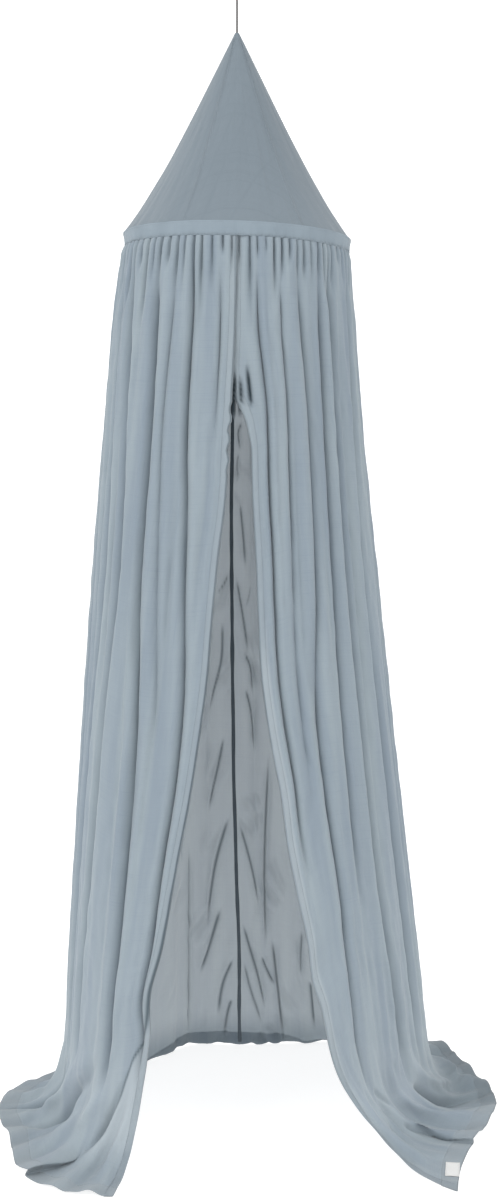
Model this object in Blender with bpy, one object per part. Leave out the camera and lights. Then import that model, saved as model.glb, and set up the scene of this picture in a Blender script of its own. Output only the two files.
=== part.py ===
"""A mosquito net canopy: cloth cone on a hoop, gathered skirt with an open front, hung by a cord.

Six gores make the cone and a band turns down over the hoop. The skirt is two panels, gathered
into the band, sewn together at the back and open at the front. Their fronts are drawn apart, so
the cloth spreads on the floor at both sides. The origin is where a hook bears in the cord's loop.
The front faces -Y, X runs to the right, and Z points up. Everything is in metres.
"""

import math
from collections import namedtuple

import bmesh
import bpy
import numpy as np

# Heights above the floor
APEX_HEIGHT = 2.390  # where the cone's sides would meet
HOOP_HEIGHT = 1.930
GATHER_HEIGHT = 1.900

# Cloth, and the gap between pieces that touch
CLOTH = 0.0016
GAP = 0.0003

# Hoop and band
HOOP_RADIUS = 0.250
HOOP_THICKNESS = 0.008
HOOP_GAP = 0.00033  # the band lies against the hoop
BAND_TOP_RADIUS = 0.2505
BAND_LOW_RADIUS = 0.2470
HOOP_LEAN = 0.031  # the hoop hangs this much lower on the right, for each metre across
RING_STEPS = 60

# Cone
GORES = 6
FIRST_SEAM = math.radians(-27.0)
GORE_COLUMNS = 8
GORE_ROWS = 8
CONE_TIP_RADIUS = 0.0047  # the gores close round the cord
CONE_STRAIGHT = 0.91  # the rest of the radius comes in the last flare above the hoop
CONE_FLARE_POWER = 5
GORE_HOLLOW = 0.022  # each gore sags inwards between its seams by this share

# Cord and its loop
CORD_DIAMETER = 0.0055
CORD_OUTSIDE = 0.090
CORD_INSIDE = 0.012
CORD_POINTS = 11
EYE_HALF_WIDTH = 0.0105
EYE_HALF_HEIGHT = 0.0150
KNOT_RADIUS = 0.0080
KNOT_LENGTH = 0.0180

# Skirt panels
PANEL_WIDTH = 1.55
COLUMNS = 61
ROW_SHARES = (0.0, 0.006, 0.016, 0.032, 0.056, 0.09, 0.15, 0.23, 0.33, 0.45, 0.57, 0.68,
              0.77, 0.835, 0.88, 0.915, 0.945, 0.972, 1.0)
FOOT_TURN = 0.22  # length over which a falling panel turns to lie on the floor
FOOT_TURN_SHARE = 0.7  # and the most of the floor run that the turn may use
BOW_START = 0.25  # how far above the floor a line starts to swing out
GATHER_DEPTH = 0.0065
GATHER_FADE = 0.075  # share of the length over which the gathers run out
SOFT_FOLDS = 15
SOFT_FOLD_DEPTH = 0.0085
FLOOR_RIPPLE = 0.016
EDGE_CALM = 0.055  # width beside an edge over which the folds die away

# Seam binding and label
BINDING_WIDTH = 0.008
BINDING_GAP = 0.0008
LABEL_THICKNESS = 0.0012
LABEL_LENGTH = 0.076
LABEL_WIDTH = 0.029
LABEL_CENTRE = (0.434, -0.360)
LABEL_TURN = math.radians(8.0)  # the hem's direction there, from straight back
LABEL_CALM = 0.095  # the panel lies flat within this distance of the label's middle

# One row for each guide line down a panel, from the front edge to the back seam. foot is where
# its fall would meet the floor, and end is where the hem lies. flare over 1 spreads it late. bow
# is how far the line swings to the back and outwards as it comes to lie.
Guide = namedtuple("Guide", "share foot_x foot_y flare bow end_x end_y")
LEFT_GUIDES = (
    Guide(0.00, -0.215, -0.330, 1.30, 0.000, -0.240, -0.503),
    Guide(0.09, -0.265, -0.290, 1.20, 0.000, -0.337, -0.480),
    Guide(0.18, -0.310, -0.235, 0.98, 0.000, -0.425, -0.392),
    Guide(0.32, -0.360, -0.110, 0.80, 0.000, -0.484, -0.170),
    Guide(0.44, -0.385, 0.000, 0.74, 0.000, -0.528, -0.005),
    Guide(0.54, -0.390, 0.085, 0.74, 0.000, -0.508, 0.130),
    Guide(0.64, -0.360, 0.175, 0.80, 0.000, -0.425, 0.245),
    Guide(0.73, -0.280, 0.260, 0.95, 0.000, -0.300, 0.320),
    Guide(0.82, -0.195, 0.350, 1.00, 0.000, -0.205, 0.372),
    Guide(0.92, -0.112, 0.480, 1.00, 0.000, -0.114, 0.488),
    Guide(1.00, 0.000, 0.478, 1.00, 0.000, 0.000, 0.484),
)
RIGHT_GUIDES = (
    Guide(0.00, 0.230, -0.270, 1.50, 0.040, 0.430, -0.476),
    Guide(0.09, 0.270, -0.235, 1.45, 0.030, 0.455, -0.340),
    Guide(0.17, 0.305, -0.195, 1.40, 0.020, 0.492, -0.225),
    Guide(0.26, 0.352, -0.130, 1.33, 0.010, 0.540, -0.100),
    Guide(0.36, 0.398, -0.045, 1.24, 0.000, 0.580, 0.040),
    Guide(0.46, 0.440, 0.055, 1.20, 0.000, 0.570, 0.170),
    Guide(0.56, 0.442, 0.175, 1.18, 0.000, 0.540, 0.340),
    Guide(0.66, 0.390, 0.320, 1.10, 0.000, 0.502, 0.480),
    Guide(0.76, 0.290, 0.430, 1.05, 0.000, 0.360, 0.522),
    Guide(0.88, 0.150, 0.485, 1.00, 0.000, 0.168, 0.505),
    Guide(1.00, 0.000, 0.478, 1.00, 0.000, 0.000, 0.484),
)

# Where the two front edges hang, at heights above the floor
EdgeRow = namedtuple("EdgeRow", "height left_x right_x")
FRONT_EDGES = (
    EdgeRow(0.288, -0.1906, 0.1758),
    EdgeRow(0.348, -0.1765, 0.1582),
    EdgeRow(0.428, -0.1543, 0.1479),
    EdgeRow(0.528, -0.1355, 0.1262),
    EdgeRow(0.630, -0.1168, 0.1055),
    EdgeRow(0.731, -0.1020, 0.0922),
    EdgeRow(0.854, -0.0853, 0.0684),
    EdgeRow(0.978, -0.0689, 0.0507),
    EdgeRow(1.103, -0.0567, 0.0434),
    EdgeRow(1.226, -0.0433, 0.0383),
    EdgeRow(1.350, -0.0186, 0.0311),
    EdgeRow(1.474, -0.0156, 0.0280),
    EdgeRow(1.702, -0.0030, 0.0062),
    EdgeRow(1.900, -0.0011, 0.0011),
)

# How far the back seam hangs off the middle, at heights above the floor
SeamRow = namedtuple("SeamRow", "height x")
BACK_SEAM = (
    SeamRow(0.00, 0.0078),
    SeamRow(0.25, 0.0042),
    SeamRow(0.55, -0.0050),
    SeamRow(0.95, -0.0108),
    SeamRow(1.40, -0.0130),
    SeamRow(1.90, 0.0000),
)

# One row for each deep crease: its place across the panel at the gathers, half way down and at
# the floor, as shares of the width, then its depth and half width.
Crease = namedtuple("Crease", "top middle low depth half_width")
LEFT_CREASES = (
    Crease(0.114, 0.060, 0.045, 0.016, 0.024),
    Crease(0.240, 0.155, 0.125, 0.022, 0.032),
    Crease(0.350, 0.295, 0.305, 0.024, 0.036),
    Crease(0.455, 0.430, 0.420, 0.018, 0.034),
    Crease(0.560, 0.555, 0.530, 0.020, 0.036),
    Crease(0.680, 0.670, 0.660, 0.018, 0.034),
    Crease(0.800, 0.790, 0.770, 0.016, 0.034),
    Crease(0.900, 0.920, 0.925, 0.012, 0.026),
)
RIGHT_CREASES = (
    Crease(0.060, 0.058, 0.055, 0.012, 0.022),
    Crease(0.165, 0.150, 0.120, 0.018, 0.030),
    Crease(0.298, 0.268, 0.285, 0.026, 0.036),
    Crease(0.400, 0.385, 0.390, 0.016, 0.030),
    Crease(0.500, 0.490, 0.480, 0.020, 0.034),
    Crease(0.620, 0.610, 0.600, 0.018, 0.036),
    Crease(0.750, 0.740, 0.730, 0.018, 0.034),
    Crease(0.890, 0.915, 0.920, 0.012, 0.026),
)

EYE_TOP = EYE_HALF_HEIGHT  # the loop's middle lies this far under the hook
KNOT_TOP = -(2 * EYE_HALF_HEIGHT)
CORD_TOP = KNOT_TOP - KNOT_LENGTH - GAP
CONE_TIP_SHARE = CONE_TIP_RADIUS / (HOOP_RADIUS * CONE_STRAIGHT)
CONE_TOP = APEX_HEIGHT - CONE_TIP_SHARE * (APEX_HEIGHT - HOOP_HEIGHT)
FLOOR = CORD_TOP - CORD_OUTSIDE - CONE_TOP  # the floor's height from the origin


def material(name, colour, roughness):
    """A plain surface of one colour, given as red, green and blue."""
    made = bpy.data.materials.new(name)
    made.use_nodes = True
    surface = made.node_tree.nodes["Principled BSDF"]
    surface.inputs["Base Color"].default_value = (*colour, 1.0)
    surface.inputs["Roughness"].default_value = roughness
    return made


def leant(points):
    """Points with heights above the floor, sheared by the hoop's lean, which dies out at the
    apex and at the floor."""
    z = points[..., 2]
    below = np.clip(z / HOOP_HEIGHT, 0.0, 1.0)
    above = np.clip((APEX_HEIGHT - z) / (APEX_HEIGHT - HOOP_HEIGHT), 0.0, 1.0)
    moved = points.copy()
    moved[..., 2] = z - HOOP_LEAN * points[..., 0] * np.minimum(below, above)
    return moved


def placed(points):
    """Points with heights above the floor, leant and moved to the object's own frame."""
    moved = leant(points)
    moved[..., 2] += FLOOR
    return moved


def add_object(name, vertices, faces, finish, smooth_angle=None):
    """A mesh object from vertices in the object's frame."""
    mesh = bpy.data.meshes.new(name)
    mesh.from_pydata([tuple(v) for v in vertices], [], faces)
    mesh.materials.append(finish)
    if smooth_angle is not None:
        mesh.shade_smooth()
        mesh.set_sharp_from_angle(angle=smooth_angle)
    made = bpy.data.objects.new(name, mesh)
    bpy.context.scene.collection.objects.link(made)
    return made


def grid_normals(grid, ring=False):
    """Unit normals of a grid of points, from the differences along its rows and columns."""
    if ring:
        across = np.roll(grid, -1, axis=1) - np.roll(grid, 1, axis=1)
    else:
        across = np.gradient(grid, axis=1)
    down = np.gradient(grid, axis=0)
    normals = np.cross(across, down)
    return normals / np.linalg.norm(normals, axis=2, keepdims=True)


def sheet(name, grid, thickness, finish, outward, ring=False, level_rows=(0,)):
    """A closed cloth solid whose middle surface is a grid of points, rows down and columns across.

    outward is a function of the grid that gives, for each point, a direction on the outer side.
    ring joins the last column to the first. The edges at level_rows are cut level.
    """
    rows, columns = grid.shape[:2]
    normals = grid_normals(grid, ring)
    if np.sum(normals * outward(grid)) < 0:
        normals = -normals
    for row in level_rows:
        normals[row, :, 2] = 0.0
        normals[row] /= np.linalg.norm(normals[row], axis=1, keepdims=True)
    outer = grid + normals * thickness / 2
    inner = grid - normals * thickness / 2
    inner[..., 2] = np.maximum(inner[..., 2], grid[..., 2].min() - thickness / 2)
    vertices = np.concatenate([outer.reshape(-1, 3), inner.reshape(-1, 3)])
    layer = rows * columns
    faces = []

    def wall(a, b):
        faces.append((a, b, b + layer))
        faces.append((a, b + layer, a + layer))

    spans = columns if ring else columns - 1
    for i in range(rows - 1):
        for j in range(spans):
            a, b = i * columns + j, i * columns + (j + 1) % columns
            c, d = a + columns, b + columns
            faces += [(a, c, d), (a, d, b)]
            faces += [(a + layer, d + layer, c + layer), (a + layer, b + layer, d + layer)]
    last = (rows - 1) * columns
    for j in range(spans):
        wall((j + 1) % columns, j)
        wall(last + j, last + (j + 1) % columns)
    if not ring:
        for i in range(rows - 1):
            wall(i * columns, (i + 1) * columns)
            wall((i + 1) * columns + columns - 1, i * columns + columns - 1)
    made = add_object(name, vertices, faces, finish, math.radians(50))
    shape = bmesh.new()
    shape.from_mesh(made.data)
    bmesh.ops.recalc_face_normals(shape, faces=shape.faces)
    shape.to_mesh(made.data)
    shape.free()
    return made


def away_from_axis(grid):
    """Directions away from the upright axis, and a little upwards, for each point of a grid."""
    away = grid.copy()
    away[..., 2] = 0.05
    return away


def smooth_column(rows, column, where):
    """A table's column as a smooth function of its first column."""
    at = np.array([row[0] for row in rows])
    values = np.array([getattr(row, column) for row in rows])
    slopes = np.gradient(values, at)
    share = np.clip(where, at[0], at[-1])
    i = np.clip(np.searchsorted(at, share, side="right") - 1, 0, len(at) - 2)
    step = at[i + 1] - at[i]
    u = (share - at[i]) / step
    rise = values[i + 1] - values[i]
    return (
        values[i]
        + rise * u * u * (3 - 2 * u)
        + step * (slopes[i] * u * (1 - u) ** 2 - slopes[i + 1] * u * u * (1 - u))
    )


def smooth_step(low, high, value):
    """0 up to low, 1 from high, and a smooth rise between."""
    u = np.clip((value - low) / (high - low), 0.0, 1.0)
    return u * u * (3 - 2 * u)


def mean_panel(guides, side, share, down):
    """The panel's surface without its folds, at shares across and shares down.

    Each line falls from the gathers to its foot and then lies out to its end. side is -1 for the
    left panel and 1 for the right. Heights are above the floor.
    """
    angle = math.pi * share
    start_radius = BAND_LOW_RADIUS - CLOTH / 2
    start = np.stack(
        [
            side * np.maximum(start_radius * np.sin(angle), GAP + CLOTH / 2),
            -start_radius * np.cos(angle),
        ],
        axis=-1,
    )
    foot = np.stack([smooth_column(guides, c, share) for c in ("foot_x", "foot_y")], axis=-1)
    end = np.stack([smooth_column(guides, c, share) for c in ("end_x", "end_y")], axis=-1)
    seam_side = side * (GAP / 2 + CLOTH / 2)
    for line in (foot, end):
        line[..., 0] = side * np.maximum(side * line[..., 0], abs(seam_side))
    flare = smooth_column(guides, "flare", share)
    fall = np.hypot(np.linalg.norm(foot - start, axis=-1), GATHER_HEIGHT)
    run = np.linalg.norm(end - foot, axis=-1)
    reach = down * (fall + run)
    turn = np.minimum(FOOT_TURN, FOOT_TURN_SHARE * run)

    def falling(along):
        part = np.clip(along / fall, 0.0, 1.0)
        flat = start + (foot - start) * (part**flare)[..., None]
        return np.concatenate([flat, (GATHER_HEIGHT * (1 - part))[..., None]], axis=-1)

    def lying(along):
        part = np.clip((along - fall) / run, 0.0, 1.0)
        flat = foot + (end - foot) * part[..., None]
        return np.concatenate([flat, np.zeros_like(part)[..., None]], axis=-1)

    line = np.where((reach < fall)[..., None], falling(reach), lying(reach))
    u = np.clip((reach - fall + turn) / (2 * turn), 0.0, 1.0)[..., None]
    corner = np.concatenate([foot, np.zeros_like(fall)[..., None]], axis=-1)
    bend = (
        (1 - u) ** 2 * falling(fall - turn)
        + 2 * u * (1 - u) * corner
        + u**2 * lying(fall + turn)
    )
    turning = (np.abs(reach - fall) < turn)[..., None]
    line = np.where(turning, bend, line)
    swing = np.clip((reach - fall + BOW_START) / (BOW_START + run), 0.0, 1.0)
    bow = smooth_column(guides, "bow", share) * np.sin(math.pi * swing) ** 2
    heading = (end - foot) / run[..., None]
    line[..., 0] += bow * np.abs(heading[..., 1])
    line[..., 1] += bow * np.abs(heading[..., 0])
    line[..., 0] += smooth_column(BACK_SEAM, "x", line[..., 2]) * smooth_step(0.8, 1.0, share)
    line[..., 2] += CLOTH / 2
    return line


def drawn_front(line, side, share):
    """The panel's rows of points with its front edge moved to where it hangs."""
    edge = line[:, :1]
    column = "left_x" if side < 0 else "right_x"
    shift = smooth_column(FRONT_EDGES, column, edge[..., 2]) - edge[..., 0]
    shift = shift * smooth_step(0.24, 0.36, edge[..., 2])
    moved = line.copy()
    moved[..., 0] += shift * (1 - smooth_step(0.0, 0.20, share))
    return moved


def fold_depths(creases, side, share, down, columns):
    """How far each point stands out from the mean surface while the cloth hangs."""
    across = share * PANEL_WIDTH
    edge = np.minimum(across, PANEL_WIDTH - across)
    calm = smooth_step(0.35 * EDGE_CALM, 1.6 * EDGE_CALM, edge)
    grown = smooth_step(0.0, 0.012, down) * 0.8 + 0.2
    gather = np.where(columns % 2 == 0, -1.0, 1.0)
    gather_size = GATHER_DEPTH * grown * (1 - smooth_step(0.3, 1.0, down / GATHER_FADE))
    wander = 0.5 * np.sin(3.1 * math.tau * share + side + 2.0 * down) + 0.35 * np.sin(
        6.7 * math.tau * share - 1.5 * down
    )
    soft = np.cos(math.tau * SOFT_FOLDS * share + wander)
    soft_size = SOFT_FOLD_DEPTH * smooth_step(0.01, 0.12, down) * (1 - 0.45 * down)
    depth = gather_size * gather * smooth_step(0.0, 0.03, edge) + soft_size * soft * calm
    for crease in creases:
        early = crease.top + (crease.middle - crease.top) * smooth_step(0.0, 0.5, down)
        place = early + (crease.low - crease.middle) * smooth_step(0.45, 0.9, down)
        near = np.exp(-(((share - place) * PANEL_WIDTH / crease.half_width) ** 2))
        depth = depth - crease.depth * near * smooth_step(0.02, 0.2, down) * calm
    return depth


def floor_ripples(side, share, down):
    """How high the cloth stands in ripples where it lies on the floor."""
    phase = math.tau * 9.0 * share + 1.1 * np.sin(math.tau * 2.3 * share) + 2.2 * down * side
    return FLOOR_RIPPLE * (0.5 + 0.5 * np.cos(phase)) ** 1.5


def panel_grid(guides, creases, side):
    """The panel's middle surface with its folds, and heights above the floor."""
    column = np.arange(COLUMNS)
    share, down = np.meshgrid(column / (COLUMNS - 1), np.array(ROW_SHARES))
    mean = drawn_front(mean_panel(guides, side, share, down), side, share)
    normals = grid_normals(mean)
    if np.sum(normals * away_from_axis(mean)) < 0:
        normals = -normals
    lying = 1 - smooth_step(0.0, 0.16, mean[..., 2])
    edge = np.minimum(share, 1 - share) * PANEL_WIDTH
    label_x, label_y = LABEL_CENTRE
    from_label = np.hypot(mean[..., 0] - label_x, mean[..., 1] - label_y)
    free = smooth_step(LABEL_CALM, 1.5 * LABEL_CALM, from_label + mean[..., 2])
    calm = smooth_step(0.0, EDGE_CALM, edge) * free
    out_run = smooth_column(guides, "end_y", share) - smooth_column(guides, "foot_y", share)
    side_run = smooth_column(guides, "end_x", share) - smooth_column(guides, "foot_x", share)
    spread = smooth_step(0.02, 0.10, np.hypot(out_run, side_run))
    hanging = fold_depths(creases, side, share, down, np.broadcast_to(column, share.shape))
    resting = floor_ripples(side, share, down) * calm * spread
    depth = hanging * (1 - lying * spread) + resting * lying
    grid = mean + normals * depth[..., None]
    grid[..., 2] = CLOTH / 2 + np.maximum(grid[..., 2] - CLOTH / 2, 0.0) * free
    grid[0, :, 2] = GATHER_HEIGHT
    return grid


def make_panel(name, guides, creases, side, finish):
    """One skirt panel, from the front edge round to the back seam."""
    return sheet(name, placed(panel_grid(guides, creases, side)), CLOTH, finish, away_from_axis)


def cone_radius(part):
    """The cone's radius at a part of the way down, 0 at the apex and 1 at the hoop."""
    return HOOP_RADIUS * (CONE_STRAIGHT * part + (1 - CONE_STRAIGHT) * part**CONE_FLARE_POWER)


def make_gore(index, finish):
    """One gore of the cone, between two seams that stand a little proud."""
    part = np.linspace(CONE_TIP_SHARE, 1.0, GORE_ROWS)
    local = np.linspace(0.0, 1.0, GORE_COLUMNS)
    local_grid, part_grid = np.meshgrid(local, part)
    width = math.tau / GORES
    radius = cone_radius(part_grid) - CLOTH / 2
    hollow = GORE_HOLLOW * np.sin(math.pi * part_grid) * np.sin(math.pi * local_grid)
    radius = radius * (1 - hollow)
    gap_angle = (GAP / 2) / radius
    angle = FIRST_SEAM + width * index + width * local_grid
    angle = np.where(local_grid == 0.0, angle + gap_angle, angle)
    angle = np.where(local_grid == 1.0, angle - gap_angle, angle)
    height = APEX_HEIGHT - part_grid * (APEX_HEIGHT - HOOP_HEIGHT - GAP)
    grid = np.stack([radius * np.sin(angle), -radius * np.cos(angle), height], axis=-1)
    name = f"gore_{index + 1}"
    return sheet(name, placed(grid), CLOTH, finish, away_from_axis, level_rows=(0, -1))


def make_band(finish):
    """The band that turns down from the hoop to the gathers."""
    angle = np.arange(RING_STEPS) * math.tau / RING_STEPS
    heights = np.linspace(HOOP_HEIGHT, GATHER_HEIGHT + GAP, 3)
    radii = np.linspace(BAND_TOP_RADIUS, BAND_LOW_RADIUS, 3) - CLOTH / 2
    grid = np.stack(
        [
            np.outer(radii, np.sin(angle)),
            np.outer(radii, -np.cos(angle)),
            np.outer(heights, np.ones_like(angle)),
        ],
        axis=-1,
    )
    return sheet("band", placed(grid), CLOTH, finish, away_from_axis, True, (0, -1))


def make_hoop(finish):
    """The round hoop inside the band's top edge."""
    tube = HOOP_THICKNESS / 2
    lowered = (tube + CLOTH) / (HOOP_HEIGHT - GATHER_HEIGHT)
    outer = BAND_TOP_RADIUS - (BAND_TOP_RADIUS - BAND_LOW_RADIUS) * lowered - CLOTH - HOOP_GAP
    bpy.ops.mesh.primitive_torus_add(
        major_radius=outer - tube,
        minor_radius=tube,
        major_segments=RING_STEPS,
        minor_segments=8,
    )
    hoop = bpy.context.object
    hoop.name = "hoop"
    height = HOOP_HEIGHT - tube - CLOTH
    for vertex in hoop.data.vertices:
        point = np.array([vertex.co.x, vertex.co.y, vertex.co.z + height])
        vertex.co = placed(point)
    hoop.data.shade_smooth()
    hoop.data.materials.append(finish)
    return hoop


def turned(name, profile, steps, finish):
    """A closed turned solid from (radius, height) pairs, top to bottom, flat at both ends."""
    vertices = []
    faces = []
    for radius, height in profile:
        for k in range(steps):
            angle = math.tau * k / steps
            vertices.append((radius * math.cos(angle), radius * math.sin(angle), height))
    for i in range(len(profile) - 1):
        for k in range(steps):
            a, b = i * steps + k, i * steps + (k + 1) % steps
            faces.append((a, a + steps, b + steps, b))
    faces.append(tuple(range(steps)))
    faces.append(tuple(reversed(range((len(profile) - 1) * steps, len(profile) * steps))))
    return add_object(name, vertices, faces, finish, math.radians(40))


def make_cord(finish):
    """The straight hanging cord, from inside the cone's tip up to the knot."""
    curve = bpy.data.curves.new("hang_cord", "CURVE")
    curve.dimensions = "3D"
    curve.bevel_depth = CORD_DIAMETER / 2
    curve.bevel_resolution = 2
    curve.use_fill_caps = True
    line = curve.splines.new("POLY")
    line.points.add(CORD_POINTS - 1)
    for k, point in enumerate(line.points):
        down = (CORD_OUTSIDE + CORD_INSIDE) * k / (CORD_POINTS - 1)
        point.co = (0.0, 0.0, CORD_TOP - down, 1.0)
    curve.materials.append(finish)
    cord = bpy.data.objects.new("hang_cord", curve)
    bpy.context.scene.collection.objects.link(cord)
    return cord


def make_loop(finish):
    """The loop that a hook goes through, with the knot that closes it."""
    curve = bpy.data.curves.new("eye", "CURVE")
    curve.dimensions = "3D"
    curve.bevel_depth = CORD_DIAMETER / 2
    curve.bevel_resolution = 2
    ring = curve.splines.new("POLY")
    ring.use_cyclic_u = True
    count = 24
    ring.points.add(count - 1)
    half_width = EYE_HALF_WIDTH + CORD_DIAMETER / 2
    half_height = EYE_HALF_HEIGHT + CORD_DIAMETER / 2
    for k, point in enumerate(ring.points):
        angle = math.tau * k / count
        narrowed = 1 - 0.28 * (1 - math.cos(angle)) / 2
        x = half_width * narrowed * math.sin(angle)
        point.co = (x, 0.0, half_height * math.cos(angle) - EYE_TOP, 1.0)
    eye = bpy.data.objects.new("eye", curve)
    bpy.context.scene.collection.objects.link(eye)
    bpy.context.view_layer.update()
    graph = bpy.context.evaluated_depsgraph_get()
    mesh = bpy.data.meshes.new_from_object(eye.evaluated_get(graph))
    bpy.data.objects.remove(eye)
    mesh.materials.clear()
    mesh.materials.append(finish)
    loop = bpy.data.objects.new("hang_loop", mesh)
    bpy.context.scene.collection.objects.link(loop)
    profile = []
    for k in range(13):
        part = k / 12
        turns = 1 + 0.12 * math.cos(math.tau * 3 * part + math.pi)
        radius = KNOT_RADIUS * (0.45 + 0.55 * math.sin(math.pi * part) ** 0.6) * turns
        profile.append((radius, KNOT_TOP - KNOT_LENGTH * part))
    knot = turned("knot", profile, 14, finish)
    knot.hide_render = True
    knot.display_type = "WIRE"
    join = loop.modifiers.new("knot", "BOOLEAN")
    join.operation = "UNION"
    join.object = knot
    return loop


def make_binding(finish):
    """The narrow binding over the back seam, inside the skirt."""
    rows = np.array(ROW_SHARES)
    share = np.ones_like(rows)
    line = mean_panel(LEFT_GUIDES, -1, share, rows)
    line = line[line[:, 2] > 0.004]
    line[:, 0] = smooth_column(BACK_SEAM, "x", line[:, 2])
    tangents = np.gradient(line, axis=0)
    inward = np.stack([np.zeros(len(line)), tangents[:, 2], -tangents[:, 1]], axis=-1)
    inward /= np.linalg.norm(inward, axis=-1, keepdims=True)
    inward *= -np.sign(inward[:, 1:2])
    centre = line + inward * (CLOTH + BINDING_GAP)
    grid = np.repeat(centre[:, None, :], 2, axis=1)
    grid[:, 0, 0] -= BINDING_WIDTH / 2
    grid[:, 1, 0] += BINDING_WIDTH / 2
    return sheet("back_binding", placed(grid), CLOTH, finish, lambda g: -away_from_axis(g))


def make_label(finish):
    """The blank label, flat on the right panel's hem close to its front corner."""
    x, y = LABEL_CENTRE
    along = np.array([math.sin(LABEL_TURN), math.cos(LABEL_TURN)])
    across = np.array([along[1], -along[0]])
    corners = []
    for i in (-0.5, 0.5):
        for j in (-0.5, 0.5):
            corners.append(np.array([x, y]) + along * LABEL_LENGTH * i + across * LABEL_WIDTH * j)
    low = FLOOR + CLOTH + GAP
    vertices = [(*c, low) for c in corners] + [(*c, low + LABEL_THICKNESS) for c in corners]
    faces = [(0, 1, 3, 2), (4, 6, 7, 5), (0, 4, 5, 1), (1, 5, 7, 3), (3, 7, 6, 2), (2, 6, 4, 0)]
    label = add_object("label", vertices, faces, finish)
    shape = bmesh.new()
    shape.from_mesh(label.data)
    bmesh.ops.recalc_face_normals(shape, faces=shape.faces)
    shape.to_mesh(label.data)
    shape.free()
    return label


def main():
    """Clears the scene and builds every piece."""
    for old in list(bpy.data.objects):
        bpy.data.objects.remove(old)
    cloth = material("dusty_blue_cotton", (0.33, 0.40, 0.46), 0.92)
    seam = material("seam_cotton", (0.22, 0.28, 0.33), 0.92)
    hoop = material("hoop_white", (0.75, 0.75, 0.73), 0.5)
    cord = material("grey_cord", (0.42, 0.42, 0.41), 0.85)
    label = material("label_white", (0.80, 0.80, 0.79), 0.7)
    for index in range(GORES):
        make_gore(index, cloth)
    make_band(cloth)
    make_hoop(hoop)
    make_panel("skirt_left", LEFT_GUIDES, LEFT_CREASES, -1, cloth)
    make_panel("skirt_right", RIGHT_GUIDES, RIGHT_CREASES, 1, cloth)
    make_binding(seam)
    make_label(label)
    make_cord(cord)
    make_loop(cord)


main()
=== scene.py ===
"""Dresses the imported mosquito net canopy: sheer cotton, seams, stitches, cord, floor and light.

The front faces -Y, X runs to the right and Z points up, in metres. The origin is where a hook
bears in the cord's loop. Most shapes are worked out in heights above the floor and then set down.
"""

import logging
import math
from dataclasses import dataclass, field
from enum import Enum
from typing import NamedTuple, Sequence

import bmesh
import bpy
import numpy as np
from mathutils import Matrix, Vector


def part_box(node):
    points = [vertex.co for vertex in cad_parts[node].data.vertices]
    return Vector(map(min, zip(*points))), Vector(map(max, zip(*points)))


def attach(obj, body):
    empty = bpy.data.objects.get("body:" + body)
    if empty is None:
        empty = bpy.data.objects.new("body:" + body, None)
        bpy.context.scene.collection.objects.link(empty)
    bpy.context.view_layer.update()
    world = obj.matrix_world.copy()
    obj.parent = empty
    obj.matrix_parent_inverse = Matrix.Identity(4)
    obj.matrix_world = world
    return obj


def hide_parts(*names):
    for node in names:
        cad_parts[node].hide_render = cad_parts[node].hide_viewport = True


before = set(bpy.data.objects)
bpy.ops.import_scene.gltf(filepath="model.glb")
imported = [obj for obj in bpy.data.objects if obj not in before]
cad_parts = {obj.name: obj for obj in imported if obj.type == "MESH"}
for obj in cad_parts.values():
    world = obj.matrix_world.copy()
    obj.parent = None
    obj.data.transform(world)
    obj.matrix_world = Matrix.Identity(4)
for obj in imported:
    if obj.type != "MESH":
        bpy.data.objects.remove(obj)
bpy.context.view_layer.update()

log = logging.getLogger("canopy")

TAU = math.tau
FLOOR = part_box("skirt_right")[0].z
Colour = tuple[float, float, float]
Point = tuple[float, float, float]
Array = np.ndarray
Piece = bpy.types.Object
Material = bpy.types.Material
Tree = bpy.types.NodeTree
Socket = bpy.types.NodeSocket
# The vertices and the faces of a closed shell.
Shell = tuple[Array, list[tuple[int, ...]]]
# When a normal's side is chosen, outwards leans this far upwards as well.
OUT_AND_UP = 0.05


class Side(Enum):
    """Which side of the open front a panel hangs on, seen from the front."""

    LEFT = -1
    RIGHT = 1


class Slot(Enum):
    """The record's material slots."""

    CLOTH = "canopy_cloth"
    BINDING = "binding"
    LABEL = "label"
    CORD = "cord"
    HOOP = "hoop"


class Frame(NamedTuple):
    """The sizes that every sub-assembly shares, with heights above the floor."""

    apex: float = 2.390
    tip: float = 2.3805
    hoop: float = 1.930
    gathers: float = 1.900
    hoop_radius: float = 0.250
    band_top: float = 0.2505
    band_low: float = 0.2470
    lean: float = 0.031


SIZES = Frame()


# ---------------- shaping


def smooth_step(low: float, high: float, value: Array) -> Array:
    """0 up to low, 1 from high, and a smooth rise between.

    Args:
        low: where the shares leave 0. Above high, they fall from 1 to 0 instead as values grow.
        high: where the shares reach 1.
        value: the numbers to map.

    Returns:
        The shares, from 0 to 1.
    """
    u = np.clip((value - low) / (high - low), 0.0, 1.0)
    return u * u * (3 - 2 * u)


def smooth_through(at: Sequence[float], values: Sequence[float], where: Array) -> Array:
    """A smooth curve through a few values.

    Args:
        at: the places of the values, rising.
        values: the values at those places.
        where: the places to read.

    Returns:
        The curve's values.
    """
    at, values = np.asarray(at, float), np.asarray(values, float)
    slopes = np.gradient(values, at)
    where = np.clip(where, at[0], at[-1])
    i = np.clip(np.searchsorted(at, where, side="right") - 1, 0, len(at) - 2)
    step = at[i + 1] - at[i]
    u = (where - at[i]) / step
    rise = values[i + 1] - values[i]
    return (
        values[i]
        + rise * u * u * (3 - 2 * u)
        + step * (slopes[i] * u * (1 - u) ** 2 - slopes[i + 1] * u * u * (1 - u))
    )


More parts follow.
